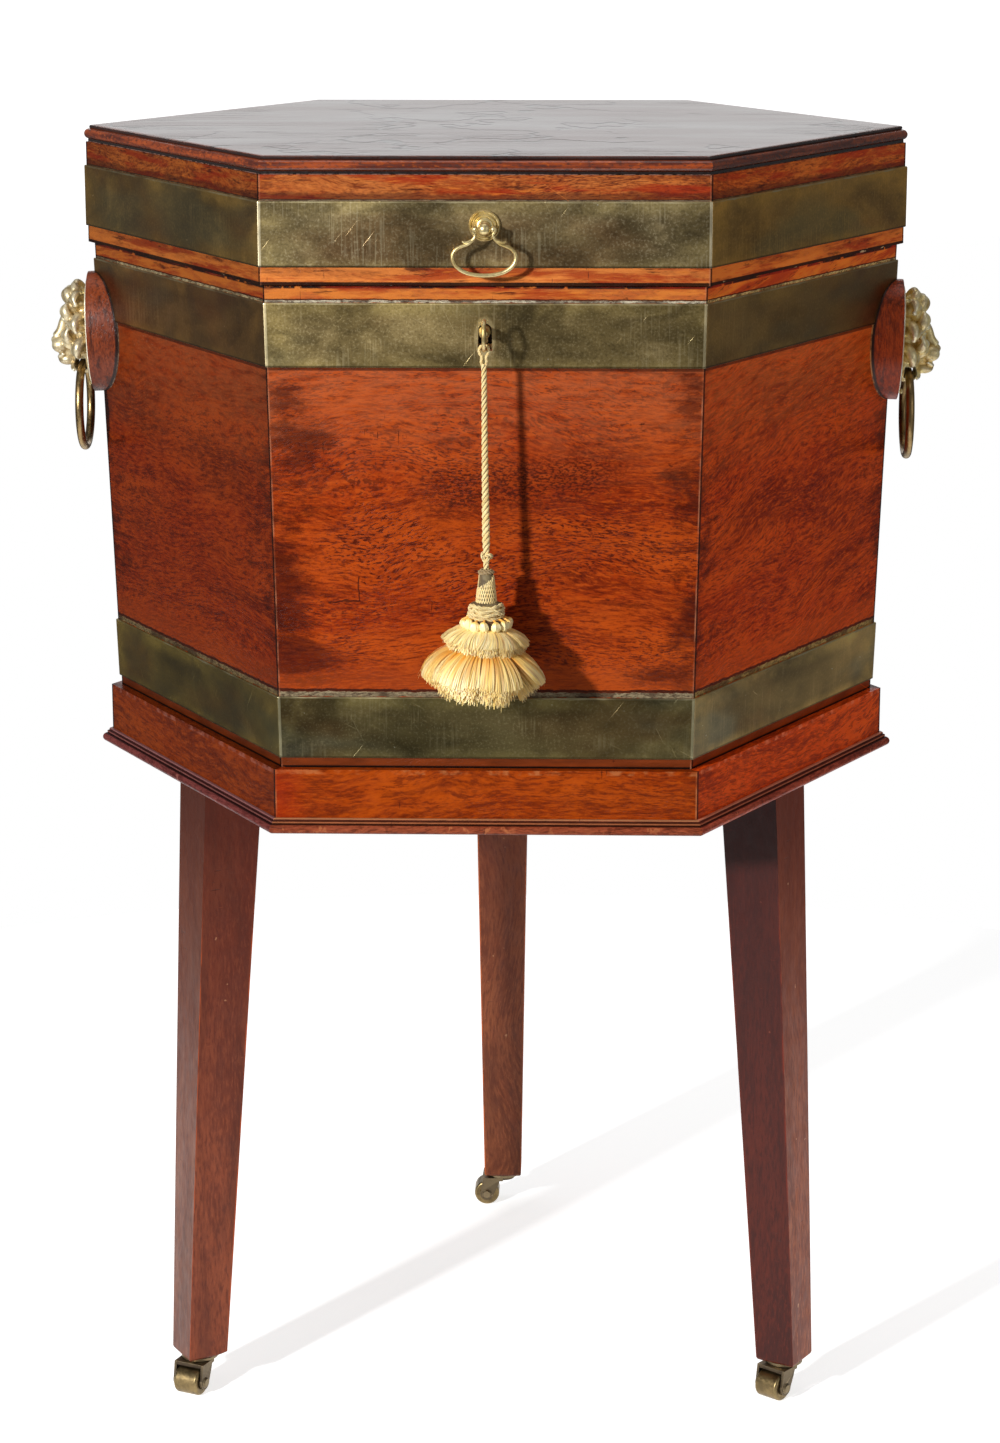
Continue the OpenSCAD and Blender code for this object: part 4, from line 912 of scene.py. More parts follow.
def lead():
    m = Mat("lead", Metallic=0.6)
    o = m.obj()
    cloud = m.noise(o, (18, 18, 18), 5, 0.7)
    fine = m.noise(o, (240, 240, 240), 4, 0.6)
    m.col = m.mix(m.step(cloud, 0.35, 0.65), (112, 114, 116), (158, 160, 160))
    m.paint((190, 190, 184), m.step(fine, 0.55, 0.75), 0.5)
    return m.done(Roughness=m.step(cloud, 0.3, 0.7, 0.45, 0.65),
                  Normal=m.bump(cloud, 0.002, 0.4, m.bump(fine, 0.0002, 0.4)))


CASE_WOOD = mahogany("case_mahogany", (156, 50, 7), (190, 78, 18), (92, 22, 4), (40, 11, 6), case_marks,
                     smoky=1.0)
LID_WOOD = mahogany("lid_mahogany", (172, 78, 28), (206, 120, 60), (112, 42, 20), (48, 20, 17), lid_marks,
                    smoky=0.8)
RAIL_WOOD = mahogany("rail_mahogany", (142, 50, 5), (172, 72, 12), (94, 28, 5), (44, 15, 8), rail_marks,
                     smoky=0.5, pores=0.45)
MOULD_WOOD = mahogany("moulding_mahogany", (128, 56, 40), (160, 82, 62), (84, 34, 24), (42, 17, 14),
                      moulding_marks, smoky=0.2, pores=0.6)
LEG_WOOD = mahogany("leg_mahogany", (116, 56, 38), (140, 76, 52), (88, 39, 26), (50, 23, 17), leg_marks,
                    pores=0.15, rough=0.42, level=0.26)
PAD_WOOD = mahogany("pad_mahogany", (110, 46, 22), (132, 63, 32), (78, 31, 15), (42, 18, 11), pad_marks,
                    pores=0.7, rough=0.3, level=0.3)
LID_TOP, LID_BEAD = lid_top_finish(), lid_bead_finish()
BAND, KEY_BAND = band_brass("band_brass", 0.95), band_brass("key_band_brass", 0.95, hole=0.47)
LOW_BAND = band_brass("low_band_brass", 0.6, lively=0.5)
GILT = metal("gilt_brass", (224, 206, 162), (160, 138, 98), 120, 0.44, (255, 250, 226), 0.72)
# painted light: a lighter copy of the gilt for the right mask, which faces away from the key lamp
GILT_LIT_COPY = metal("gilt_brass_painted_lit", (255, 236, 170), (196, 162, 92), 120, 0.4, (255, 254, 236), 0.5)
BRIGHT = metal("bright_brass", (226, 208, 154), (186, 162, 104), 90, 0.36, metallic=0.85)
DARK = metal("caster_fork_brass", (84, 72, 58), (52, 44, 38), 130, 0.45, (140, 124, 96))
ROLLER = metal("caster_roller_brass", (128, 108, 74), (76, 62, 44), 160, 0.38, (176, 156, 110))
OLD = metal("antique_brass", (146, 116, 72), (84, 64, 40), 110, 0.34, (196, 170, 120))
STEEL = metal("steel", (170, 168, 164), (110, 106, 100), 100, 0.35)
NET_CORE = metal("worn_net_core", (124, 108, 76), (84, 68, 44), 260, 0.7, metallic=0.0)
LEAD = lead()
CARCASE = plain_wood("carcase_wood", (176, 128, 82), (128, 84, 50))
LID_INSIDE = plain_wood("lid_inside_wood", (124, 64, 34), (86, 42, 22))
CORD_SILK, THREAD_SILK = silk_cord(), silk_thread()
PAINT = {"lead": LEAD, "bright_brass": BRIGHT, "old_brass": OLD, "screw_steel": STEEL, "pin_steel": DARK}


# ---------- cord and tassel ----------

def strands(parts, path, plies, offset, radius, pitch, sides=10, closed=False, up=(0, 0, 1.0)):
    """Plies twisted round a path, added to parts; below 0 the tint paints shade in the grooves between them.
    """
    s = travelled(path)
    _, n, b = frames(path, closed, up)
    if closed:
        total = s[-1] + np.linalg.norm(path[0] - path[-1])
        pitch = total / max(1, round(total / pitch))
    away = np.broadcast_to(np.asarray(offset, float), (len(path),))[:, None]
    reach = np.broadcast_to(np.asarray(radius, float), (len(path),))[:, None]
    for k in range(plies):
        a = 2 * math.pi * (s / pitch + k / plies)
        line = path + away * (np.cos(a)[:, None] * n + np.sin(a)[:, None] * b)
        verts, faces = tube(line, radius, sides, closed)
        deep = np.linalg.norm(verts.reshape(len(path), sides, 3) - path[:, None], axis=2) / (away + reach)
        # painted shade: the tint falls below 0 deep in the grooves between plies
        groove = np.clip((0.86 - deep.ravel()) / 0.14, 0, 1)
        tint = k / max(1, plies - 1) * 0.5 * (1 - groove) - 0.6 * groove
        turn = np.tile(np.arange(sides) / sides, len(s))
        parts.add(verts, faces, np.stack([np.repeat(s, sides), turn, tint], 1))


def dense(path, gap):
    """Path with points about gap mm apart."""
    path = np.asarray(path, float)
    total = travelled(path)[-1]
    return resampled(path, np.linspace(0, total, max(2, int(total / gap))))


cord_points = [[x, BOW_Y, CORD_TOP_Z - d] for x, d in (
    (0, 0), (0.1, 12), (0.2, 24), (0.3, 36), (0.4, 48), (0.55, 60), (0.7, 72), (0.85, 84), (1, CORD_SEEN),
    (1, 106), (1, 116), (1, 128), (1, CORD_SEEN + CORD_END))]


def add_cord():
    """The doubled cord, wider towards its knot and thin inside the tassel, and its loop over the bow."""
    parts = Parts()
    path = dense(cord_points, 0.5)
    s = np.linspace(0, CORD_SEEN + CORD_END, len(path))
    wide = 1.45 + 0.65 * np.clip(s / 84, 0, 1) ** 1.3 - 0.5 * np.clip((s - 92) / 6, 0, 1)
    strands(parts, path, 3, 0.5 * wide, 0.5 * wide, 9.5, 16)
    cord = make("twisted_cord", parts, CORD_SILK, "cord", 60, vector="silk")
    half = ((-0.4, -8.6), (-1.0, -7.2), (-1.4, -5.8), (-1.1, -4.4), (-1.3, -3.1), (-2.05, -1.8),
            (-2.42, -0.5), (-2.3, 0.8), (-1.7, 1.75), (-0.7, 2.27))
    path = [[x, BOW_Y, BOW_LOW_Z + z] for x, z in half + tuple((-x, z) for x, z in half[::-1])]
    loop = Parts()
    strands(loop, dense(curve(path, 6), 0.35), 3, 0.36, 0.48, 4.2, 8, up=[0, 1, 0])
    return cord, make("cord_loop_twisted", loop, CORD_SILK, "cord_loop", 60, vector="silk")


def add_knot():
    t = around(120)
    p = np.stack([(np.sin(t) + 2 * np.sin(2 * t)) * 0.84, np.sin(3 * t) * 1.3,
                  (np.cos(t) - 2 * np.cos(2 * t)) * 0.8], 1) @ turned("Y", 14).T
    parts = Parts()
    strands(parts, p + TASSEL + [0.1, 0, -3.4], 3, 0.52, 0.56, 6.5, 8, closed=True)
    return make("tassel_knot_tied", parts, CORD_SILK, "tassel_knot", 60, vector="silk")


def ring_path(r, z, n):
    t = around(n)
    return np.stack([r * np.cos(t), r * np.sin(t), np.full(n, z)], 1) + TASSEL


def add_head():
    """Netted cone: dark worn core, two families of fine cords, a thick ring on top."""
    core = Parts().add(*lathe([[0, -27.8], [8.0, -27.6], [5.1, -26.6], [3.65, -14.5], [3.5, -13],
                               [3.3, -10.4], [1.7, -9.6], [0, -9.2]], 40, TASSEL))
    core = make("tassel_head_core", core, NET_CORE, "tassel_head", 40)
    net = Parts()
    rows = 24
    for way in (-1, 1):
        for i in range(rows):
            z = np.linspace(-12.8, -27.4, 40)
            a = 2 * math.pi * i / rows + way * (z + 13) * 0.066
            worn = 0.5 + 0.5 * np.tanh((z + 16.8 - 3.4 * np.cos(a) + 0.6 * rng.standard_normal()) / 0.45)
            bare = worn * np.clip(0.5 - 1.5 * np.sin(a), 0, 1)
            r = 3.78 + (z + 13) / (-27 + 13) * 1.5 - 0.8 * bare
            r = r + 0.14 * np.cos(np.arange(40) * math.pi / 1.5 + (way > 0) * math.pi)
            line = np.stack([r * np.cos(a), r * np.sin(a), z], 1) + TASSEL
            net.add(*tube(line, 0.28, 6), [0.5, 0.3, 0.6 * rng.random()])
    ring = Parts()
    strands(ring, ring_path(3.45, -11.2, 120), 2, 0.42, 0.52, 3.6, 8, closed=True)
    strands(ring, ring_path(2.6, -10.3, 90), 2, 0.32, 0.45, 3.0, 8, closed=True)
    net.add(np.vstack(ring.v), ring.f, np.vstack(ring.a) * [1, 1, 0] - [0, 0, 0.35])
    return core, make("tassel_head_net", net, CORD_SILK, "tassel_head", 60, stands=[], vector="silk")


def add_collar():
    parts = Parts()
    t = around(240)
    for r, z, lobes in ((7.9, -28.6, 3), (8.5, -30.5, 5), (8.75, -32.5, 4), (8.2, -34.4, 5)):
        wave = ring_path(r, z, 240)
        wave[:, 2] += 0.42 * np.sin(lobes * t + z) + 0.15 * np.sin(11 * t + 2 * z)
        wave[:, :2] += 0.25 * np.sin(7 * t + z)[:, None] * np.stack([np.cos(t), np.sin(t)], 1)
        strands(parts, wave, 3, 0.5, 0.58, 12.0, 9, closed=True)
    parts.a = [info * [1, 1, 0.4] for info in parts.a]  # weaker painted shade in the grooves
    core = lathe([[0, -35.6], [7.9, -35.4], [8.0, -31], [7.0, -27.5], [0, -27.4]], 40, TASSEL)
    parts.add(*core, vec=[0.2, 0.0, 1.6])
    return make("tassel_collar_cords", parts, CORD_SILK, "tassel_collar", 50, vector="silk")


def add_balls(count=14):
    """Small tufts of silk, each pinched at its top."""
    parts = Parts()
    core = lathe([[0, -40.6], [9.8, -40.2], [9.6, -36.4], [8.6, -34.8], [0, -34.6]], 40, TASSEL)
    # the core is painted dark, as shade between the tufts
    parts.add(*core, vec=[-1, 0.5, 1.0])
    rows, sides = 14, 32
    t = around(sides)
    for i in range(count):
        a = 2 * math.pi * (i + 0.5 + 0.12 * rng.standard_normal()) / count
        r0 = 11.5 + 0.35 * rng.standard_normal()
        wide, tall = 2.5 + 0.22 * rng.standard_normal(), 2.85 + 0.25 * rng.standard_normal()
        lean, seed = 0.5 * rng.standard_normal(), 6 * rng.random()
        groove = (1 + 0.09 * np.cos(6 * t + seed) + 0.07 * np.cos(11 * t + 2 * seed)
                  + 0.05 * np.cos(3 * t + seed))
        verts, info = [], []
        for u in np.linspace(-1, 1, rows):
            rad = wide * max(0.0, 1 - abs(u) ** 4) ** 0.5 * (1 - 0.42 * max(0, u)) + 0.02
            x, y = 0.9 * rad * groove * np.cos(t), rad * groove * np.sin(t)
            z = tall * u + 0.35 * np.cos(6 * t + seed) * (u < 0)
            verts += np.stack([x + 0.3 * u, y + lean * u, z], 1).tolist()
            shade = 0.95 - 0.95 * max(0.0, u) ** 2
            info += np.stack([np.full(sides, shade), 0.68 + 0.15 * np.cos(11 * t + 2 * seed),
                              0.15 - 0.15 * np.cos(6 * t + seed)], 1).tolist()
        way = turned("Z", math.degrees(a)).T
        at = TASSEL + [r0 * math.cos(a), r0 * math.sin(a), -38.0 + 0.45 * rng.standard_normal()]
        parts.add(np.array(verts) @ way + at, grid_faces(rows, sides) + end_faces(rows, sides), info)
        neck = np.array([[8.4, 0, -34.9], [10.0, 0, -35.2], [r0, 0, -36.2]])
        parts.add(*tube(neck @ way + TASSEL, [0.5, 0.6, 0.7], 8), [0.3, 0.2, 0.8])
    return make("tassel_balls_silk", parts, THREAD_SILK, "tassel_balls", 60, vector="silk")


def askew(pts, slide):
    """Hangs a skirt's points a little askew; slide moves them sideways with their radius."""
    x = pts[:, 0] - TASSEL[0]
    r = np.hypot(x, pts[:, 1] - TASSEL[1])
    pts[:, 2] -= 0.07 * x
    pts[:, 0] -= slide * r
    return pts


def add_skirt(name, node, count, bundles, locks, outer, inner, core, width, jitter, slide, tone, pale,
              strays=0):
    """Threads laid between an outer and an inner profile of [r, z] pairs, gathered in bundles of finer locks;
    tone scales their tints, which rise at the edges of locks and bundles as painted shade in the grooves, and
    pale lightens their roots."""
    parts = Parts()
    steps = 10
    u = np.linspace(0, 1, steps)
    profiles = []
    for prof in (outer, inner):
        fine = curve(np.column_stack([prof, np.zeros(len(prof))]), 8)[:, :2]
        profiles.append(resampled(fine, u * travelled(fine)[-1]))
    po, pi = profiles
    tints = rng.random((bundles, locks)) ** 1.5
    bulge = 0.3 * rng.standard_normal((bundles, locks))
    leans = 0.28 * rng.standard_normal(bundles)
    t3 = around(4)
    for i in range(count):
        stray = i < strays
        b, j = rng.integers(bundles), rng.integers(locks)
        g = rng.uniform(-1, 1)  # across the lock
        f = np.clip(((2 * j + 1 + g) / locks - 1), -1, 1)  # across the bundle
        depth = min(1.0, rng.random() ** 2.4 + 0.06 * g * g)
        reach = 1 + jitter * rng.standard_normal() * (0.35 + depth)
        reach += 0.04 + 0.1 * rng.random() if stray else 0
        reach -= 0.09 * f * f
        prof = po * (1 - depth) + pi * depth
        prof = prof[0] + (prof - prof[0]) * reach
        swell = np.sin(np.pi * np.minimum(1, u * 0.9 + 0.05))
        puff = ((1 - f * f) * 0.8 + bulge[b, j] - 0.3 * g * g) * swell
        r = prof[:, 0] + puff * (1 - depth)
        fan = f * (0.9 + 0.16 * u) + leans[b] * u * u
        ang = 2 * math.pi * (b + 0.5) / bundles + math.pi / bundles * fan
        ang = ang + 0.02 * rng.standard_normal() * u
        wig = 0.2 * np.sin(u * 5 + rng.random() * 6) * u
        r = r + wig
        line = np.stack([r * np.cos(ang), r * np.sin(ang), prof[:, 1] + wig * 0.5], 1) + TASSEL
        line = askew(line, slide)
        line[:, 1] = np.where(line[:, 1] > BACK_Y, BACK_Y - 0.15 * rng.random(), line[:, 1])
        tan = np.gradient(line, axis=0)
        tan /= np.linalg.norm(tan, axis=1)[:, None] + 1e-9
        side = np.cross(tan, np.stack([np.cos(ang), np.sin(ang), np.zeros(steps)], 1))
        side /= np.linalg.norm(side, axis=1)[:, None] + 1e-9
        rise = np.cross(side, tan)
        w = width * (0.75 + 0.5 * rng.random()) * (0.5 if stray else 1) * (1 - 0.5 * u ** 8)
        ring = np.cos(t3)[None, :, None] * side[:, None] + 0.3 * np.sin(t3)[None, :, None] * rise[:, None]
        verts = (line[:, None] + ring * w[:, None, None]).reshape(-1, 3)
        # painted shade: threads at the edges of locks and bundles tinted deeper orange, over each lock's own
        # tint
        tint = tints[b, j] * 0.8 + 0.35 * abs(g) ** 3 + 0.4 * abs(f) ** 6 + 0.25 * (rng.random() - 0.5)
        info = np.stack([np.repeat(pale + (1 - pale) * u, 4), np.full(steps * 4, rng.random()),
                         np.full(steps * 4, np.clip(tone * tint, 0, 1))], 1)
        parts.add(verts, grid_faces(steps, 4) + end_faces(steps, 4), info)
    verts, faces = lathe(core, 56, TASSEL)
    verts = askew(verts, slide)
    verts[:, 1] = np.minimum(verts[:, 1], BACK_Y - 0.3)
    parts.add(verts, faces, [0.0, 0.9, 1.0])
    return make(name, parts, THREAD_SILK, node, 60, vector="silk")


def add_tassel():
    cord, loop = add_cord()
    pieces = [loop, add_knot(), *add_head(), add_collar(), add_balls()]
    pieces.append(add_skirt(
        "upper_skirt_silk", "upper_skirt", 2500, 11, 5,
        outer=[[9.6, -39.6], [13.6, -41], [18.6, -43.4], [23, -46.8]],
        inner=[[9.2, -41.6], [12.5, -45.5], [15.2, -50], [17.0, -56.6]],
        core=[[0, -54.4], [14.6, -54], [13.8, -50], [11.5, -44], [8.6, -40.8], [0, -40.6]],
        width=0.28, jitter=0.035, slide=0.02, tone=0.3, pale=0.55))
    pieces.append(add_skirt(
        "lower_skirt_silk", "lower_skirt", 4600, 8, 9,
        outer=[[12.5, -49.6], [19.8, -52.3], [25.6, -56.4], [30, -61.4], [32.4, -66.3]],
        inner=[[11.5, -53.5], [15.5, -60], [18.4, -68], [20, -78.4]],
        core=[[0, -73.6], [18.2, -73], [17.2, -65], [14.4, -57], [11, -51.4], [0, -51]],
        width=0.29, jitter=0.025, slide=0.06, tone=1.35, pale=0.0, strays=24))


add_tassel()


# ---------- lion masks, pads and rings ----------

def lock(parts, base, way, length, radius, curl, rise=0.5):
    """One curled lock of mane in three ridges that winds up at its tip. base is [y, z, x], way degrees."""
    n = 16
    u = np.linspace(0, 1, n)
    ang = math.radians(way) + np.cumsum(np.concatenate([[0], np.diff(curl * u ** 1.6)]))
    step = length / n * (1 - 0.35 * u)
    y = base[0] + np.cumsum(step * np.cos(ang))
    z = base[1] + np.cumsum(step * np.sin(ang))
    x = base[2] + rise * radius * (0.25 + 1.1 * np.sin(u * math.pi * 0.8))
    r = radius * (0.42 + 0.5 * np.sin(np.minimum(1, 0.18 + 0.95 * u) * math.pi)) * (1 - 0.35 * u)
    for k in (-1, 0, 1):
        side = 0.62 * k * r
        pts = np.stack([x - 0.3 * abs(k) * r, y - side * np.sin(ang), z + side * np.cos(ang)], 1)
        parts.add(*tube(pts, r * (0.72 - 0.12 * abs(k)), 12))
    parts.add(*blob([x[-1], y[-1], z[-1]], [r[-1]] * 3, sides=12, rows=7))


def add_plate(parts, n=72):
    """Long oval plate behind the head."""
    t = np.linspace(0, 2 * math.pi, n, endpoint=False)
    rim = np.stack([np.zeros(n), 21.9 * np.sin(t), 21.9 * np.cos(t) + np.where(np.cos(t) > 0, 9.5, -9.5)], 1)
    verts = np.vstack([rim, rim + [0.4, 0, 0], rim * [1, 0.95, 0.96] + [0.8, 0, 0], [[0, 0, 0], [0.8, 0, 0]]])
    faces = [[b, a, d, c] for a, b, c, d in grid_faces(3, n)]
    faces += [[3 * n, j, (j + 1) % n] for j in range(n)]
    faces += [[3 * n + 1, 2 * n + (j + 1) % n, 2 * n + j] for j in range(n)]
    parts.add(verts, faces)


def add_face(parts):
    """Skull, brow, eyes, ears, muzzle and jaw of a made-up lion."""
    for centre, size in (([2.5, 0, 4], [9.5, 15.5, 19]), ([2.5, 0, -9], [8.0, 14.0, 15]),
                         ([9.5, 0, 10], [4.6, 8.6, 6.2]), ([17.6, 0, -4.2], [2.6, 3.6, 2.4]),
                         ([12.4, 0, -15.2], [4.8, 5.2, 3.6]), ([11.0, 0, -10.0], [6.0, 5.6, 5.0])):
        parts.add(*blob(centre, size))
    for s in (-1, 1):
        brow = curve([[9.6, s * 1.6, 7.2], [12.4, s * 4.2, 8.6], [11.6, s * 8.0, 8.2], [8.6, s * 11, 5.6]], 5)
        parts.add(*tube(brow, [1.5] * 5 + [1.9] * 6 + [1.3] * 5, 10))
        lid = curve([[9.4, s * 3.0, 3.0], [11.6, s * 5.8, 2.4], [9.6, s * 8.8, 3.6]], 5)
        parts.add(*tube(lid, 0.75, 8))
        for centre, size in (([10.3, s * 5.8, 4.5], [2.0, 2.5, 1.7]), ([9.5, s * 9.4, -3.2], [4.2, 4.2, 5.6]),
                             ([15.0, s * 3.7, -7.0], [4.6, 4.2, 4.4]),
                             ([18.2, s * 2.4, -5.0], [1.5, 1.5, 1.3])):
            parts.add(*blob(centre, size))
        parts.add(*blob([7.6, s * 12.5, 15.0], [3.6, 3.6, 4.2], turned("X", -s * 30)))
        for k in range(3):
            whisker = [[17.6 - k * 0.3, s * 4.0, -6.0 - k * 1.3], [15.2, s * 7.3, -6.6 - k * 1.7]]
            parts.add(*tube(whisker, [0.5, 0.35], 6))
    nose = curve([[9.5, 0, 12], [12.8, 0, 7.0], [14.6, 0, 1.2], [17.0, 0, -2.6]], 6)
    parts.add(*tube(nose, np.linspace(2.7, 3.2, 19), 14, flat=0.9))
    jaw = curve([[13.6, -5.4, -11.2], [15.8, -3.4, -13.2], [16.3, 0, -13.9], [15.8, 3.4, -13.2],
                 [13.6, 5.4, -11.2]], 5)
    parts.add(*tube(jaw, 1.15, 10))


def mask_mesh():
    """Relief of a lion's head in its own frame: x outwards, y to the side, z up, on a long oval plate."""
    parts = Parts()
    add_plate(parts)
    add_face(parts)
    # beard
    for y, way in ((-4.4, -114), (-1.6, -97), (1.6, -83), (4.4, -66)):
        lock(parts, [y * 0.8, -16.0, 8.2], way, 8.4, 2.3, 1.0 * np.sign(y), 0.5)
    # mane: two tiers of large curls and a tuft on top
    for reach, count, across, up, mid, out, length, curl, rise in (
            (150, 9, 13, 17, 2.5, 2.6, 14.5, (-2.6, 2.4), 0.55),
            (115, 6, 10.5, 11, 5.5, 6.4, 13.5, (2.6, -2.4), 0.65)):
        for a in np.linspace(-reach, reach, count):
            w = math.radians(90 - a)
            base = [across * math.cos(w), mid + up * math.sin(w), out]
            lock(parts, base, 90 - a, length, 5.2, curl[0] if a > 0 else curl[1], rise)
    for y in (-5, 5):
        lock(parts, [y, 19.5, 4.0], 90 - y * 5, 11.5, 4.8, 2.2 * (1 if y > 0 else -1), 0.5)
    parts.v = [v * [1.17, 1, 1] for v in parts.v]
    return parts


def ring_cutter():
    """Solid swept by the ring round its axis, in the mask's frame."""
    grow, half = RING_WIRE_R + 0.5, 22.4
    ys = np.linspace(-half, half, 17)
    edge = [[RING_R - math.sqrt(RING_R ** 2 - y * y) + grow, y] for y in ys[::-1]]
    verts, faces = lathe([[0, half]] + edge + [[0, -half]], 40)
    verts = verts[:, [0, 2, 1]] * [1, 1, -1]
    return (verts + [RING_OUT, 0, -RING_DOWN]) / 1000, [f[::-1] for f in faces]


def corner_matrix(side, drop):
    """Frame of a handle on the side corner: x outwards; the left one is mirrored."""
    z = MASK_Z - drop
    return (Matrix.Translation((0, 0.008, 0)) @ Matrix.Scale(side, 4, (1, 0, 0))
            @ Matrix.Translation((case_a(z) / C30 / 1000, 0, z / 1000)) @ Matrix.Rotation(LEAN, 4, "Y"))


def add_mask(side, drop, node):
    """Lion mask fused from its parts, with room for the ring; side is -1 for the left."""
    parts = mask_mesh()
    ob = add_object(node + "_lion", np.vstack(parts.v) / 1000, parts.f)
    mod = ob.modifiers.new("fuse", "REMESH")
    mod.mode, mod.voxel_size, mod.use_smooth_shade = "VOXEL", 0.00055, True
    mod = ob.modifiers.new("soften", "SMOOTH")
    mod.factor, mod.iterations = 0.5, 3
    bake(ob)
    cut(ob, *ring_cutter(), planes=(((2.6, 0, 0), (-1, 0, 0)), ((0, 0, -RING_DOWN + 3.2), (0, 0, 1))))
    ob.data.transform(corner_matrix(side, drop) @ Matrix.Translation((MASK_OUT / 1000, 0, 0)))
    if side < 0:
        ob.data.flip_normals()
    # the right mask takes the lighter copy of the gilt, painted light
    return finish(ob, GILT if side < 0 else GILT_LIT_COPY, node, 50)


def add_ring(side, drop, tag):
    """Ring that hangs plumb from its mask, worn thin where it hangs."""
    z = MASK_Z - drop
    out = MASK_OUT + RING_OUT
    x = case_a(z) / C30 + out * math.cos(LEAN) - RING_DOWN * math.sin(LEAN)
    mid_z = z - out * math.sin(LEAN) - RING_DOWN * math.cos(LEAN) - RING_R
    t = around(120)
    rad = RING_WIRE_R - 0.02 - 0.18 * np.exp(-((t - math.pi / 2) / 0.35) ** 2)
    path = np.stack([np.full(120, side * x), RING_R * np.cos(t), mid_z + RING_R * np.sin(t)], 1)
    make("ring_%s_cast" % tag, Parts().add(*tube(path, rad, 24, closed=True)), OLD, "ring_" + tag, 60)


for side, drop, tag in ((-1, 0.0, "left"), (1, 3.5, "right")):
    refined("pad_" + tag, PAD_WOOD, 1.6, 4, coords=pad_coords)
    add_mask(side, drop, "mask_" + tag)
    add_ring(side, drop, tag)


# ---------- lid bail, rose and key ----------

FORWARD = turned("X", 90)  # turns a profile's axis towards the front


def add_bail():
    """Turned rose, post with its ball, and the bail's wire with a curl at each side."""
    prof = [[0, -0.05], [7.95, -0.05], [8.0, 0.5], [7.8, 1.25], [7.45, 1.5], [7.1, 1.25], [6.9, 0.6],
            [6.25, 0.45], [5.95, 0.85], [5.8, 1.6], [5.45, 1.9], [5.1, 1.75], [4.9, 1.4], [4.55, 1.35],
            [4.3, 1.8], [4.1, 2.4], [3.7, 2.65], [2.9, 2.75], [0, 2.9]]
    make("rose_turned", Parts().add(*lathe(prof, 64, ROSE, FORWARD)), BRIGHT, "rose", 50)
    prof = [[0, -9.8], [1.75, -9.8], [1.8, 3.0], [2.7, 3.2], [2.75, 3.7], [2.2, 4.4], [1.8, 4.8], [1.8, 7.6],
            [0, 7.8]]
    post = Parts().add(*lathe(prof, 32, ROSE, FORWARD))
    post.add(*blob(BALL, [3.3] * 3, sides=40, rows=25))
    make("bail_post_turned", post, BRIGHT, "bail_post", 50)
    half = [(0.4, 0, .9), (3.3, 0, .9), (3.7, 0, 1.4), (4.5, -.1, 1.75), (5.3, -.3, 1.4), (5.2, -1.5, 1.0),
            (4.6, -2.6, .85), (4.7, -3.8, .82), (5.4, -5.0, .82), (6.6, -6.3, .84), (8.2, -7.5, .88),
            (10.4, -8.4, .88), (12.8, -9.3, .94), (14.8, -10.9, 1.0), (15.9, -13.1, 1.05),
            (15.9, -15.7, 1.05), (14.6, -18.2, 1.05), (12.2, -20.4, 1.05), (9.1, -22.0, 1.05),
            (5, -23.0, 1.05), (2, -23.3, 1.05)]
    pts = curve(half + [(0, -23.35, 1.05)] + [(-x, z, r) for x, z, r in half[::-1]], 6)  # x, z, radius
    path = np.stack([pts[:, 0], np.zeros(len(pts)), pts[:, 1]], 1) + BALL
    bail = Parts().add(*tube(path, pts[:, 2], 16))
    for s in (-1, 1):
        curl = curve([[s * 6.4, -0.2, -5.7], [s * 8.2, -0.5, -6.5], [s * 9.9, -0.6, -6.7],
                      [s * 11.1, -0.5, -6.2]], 5)
        bail.add(*tube(curl + BALL, np.linspace(0.8, 0.45, len(curl)), 10))
    make("bail_wire", bail, BRIGHT, "bail", 60)


def add_key():
    """Barrel with its bit, two collars and an oval bow seen edge on."""
    front = -BOW_Y - 5.2
    tip = KEY_SEAT
    prof = [[0, tip + 8.1], [1.16, tip + 8.1], [1.16, tip], [2.35, tip], [2.6, tip + 0.3]]
    prof += [[r, front - back] for r, back in (
        (2.6, 9.5), (2.9, 9.2), (3.0, 8.4), (2.8, 7.6), (2.4, 7.2), (2.2, 5.0), (2.6, 4.4), (2.8, 3.5),
        (2.6, 2.6), (2.1, 2.1), (1.9, 1.0), (1.6, -0.3), (0, -0.6))]
    parts = Parts().add(*lathe(prof, 36, [0, 0, KEY_Z], FORWARD))
    t = around(96)
    bow = np.stack([0 * t, BOW_Y + 5.2 * np.cos(t), KEY_Z + 7.4 * np.sin(t)], 1)
    parts.add(*tube(bow, 1.08, 14, closed=True))
    bit = [[x, y, KEY_Z + z] for x in (-1.2, 1.2) for y in (-187.9, -184.3) for z in (-7.5, -2.2)]
    parts.add(bit, [[0, 1, 3, 2], [4, 6, 7, 5], [0, 4, 5, 1], [2, 3, 7, 6], [0, 2, 6, 4], [1, 5, 7, 3]])
    make("key_turned", parts, BRIGHT, "key", 50)


add_bail()
add_key()


# ---------- case, lid and stand ----------

def swept(node, mat, profile, coords, hole=None):
    """Hexagonal ring in place of a CAD node; hole is a solid cut from it."""
    verts, faces = hex_sweep(profile)
    ob = add_object(node + "_finished", (verts + AXIS) / 1000, faces)
    if hole:
        cut(ob, (np.array(hole[0]) + AXIS) / 1000, hole[1])
    coords(ob.data)
    return finish(ob, mat, node, 30)


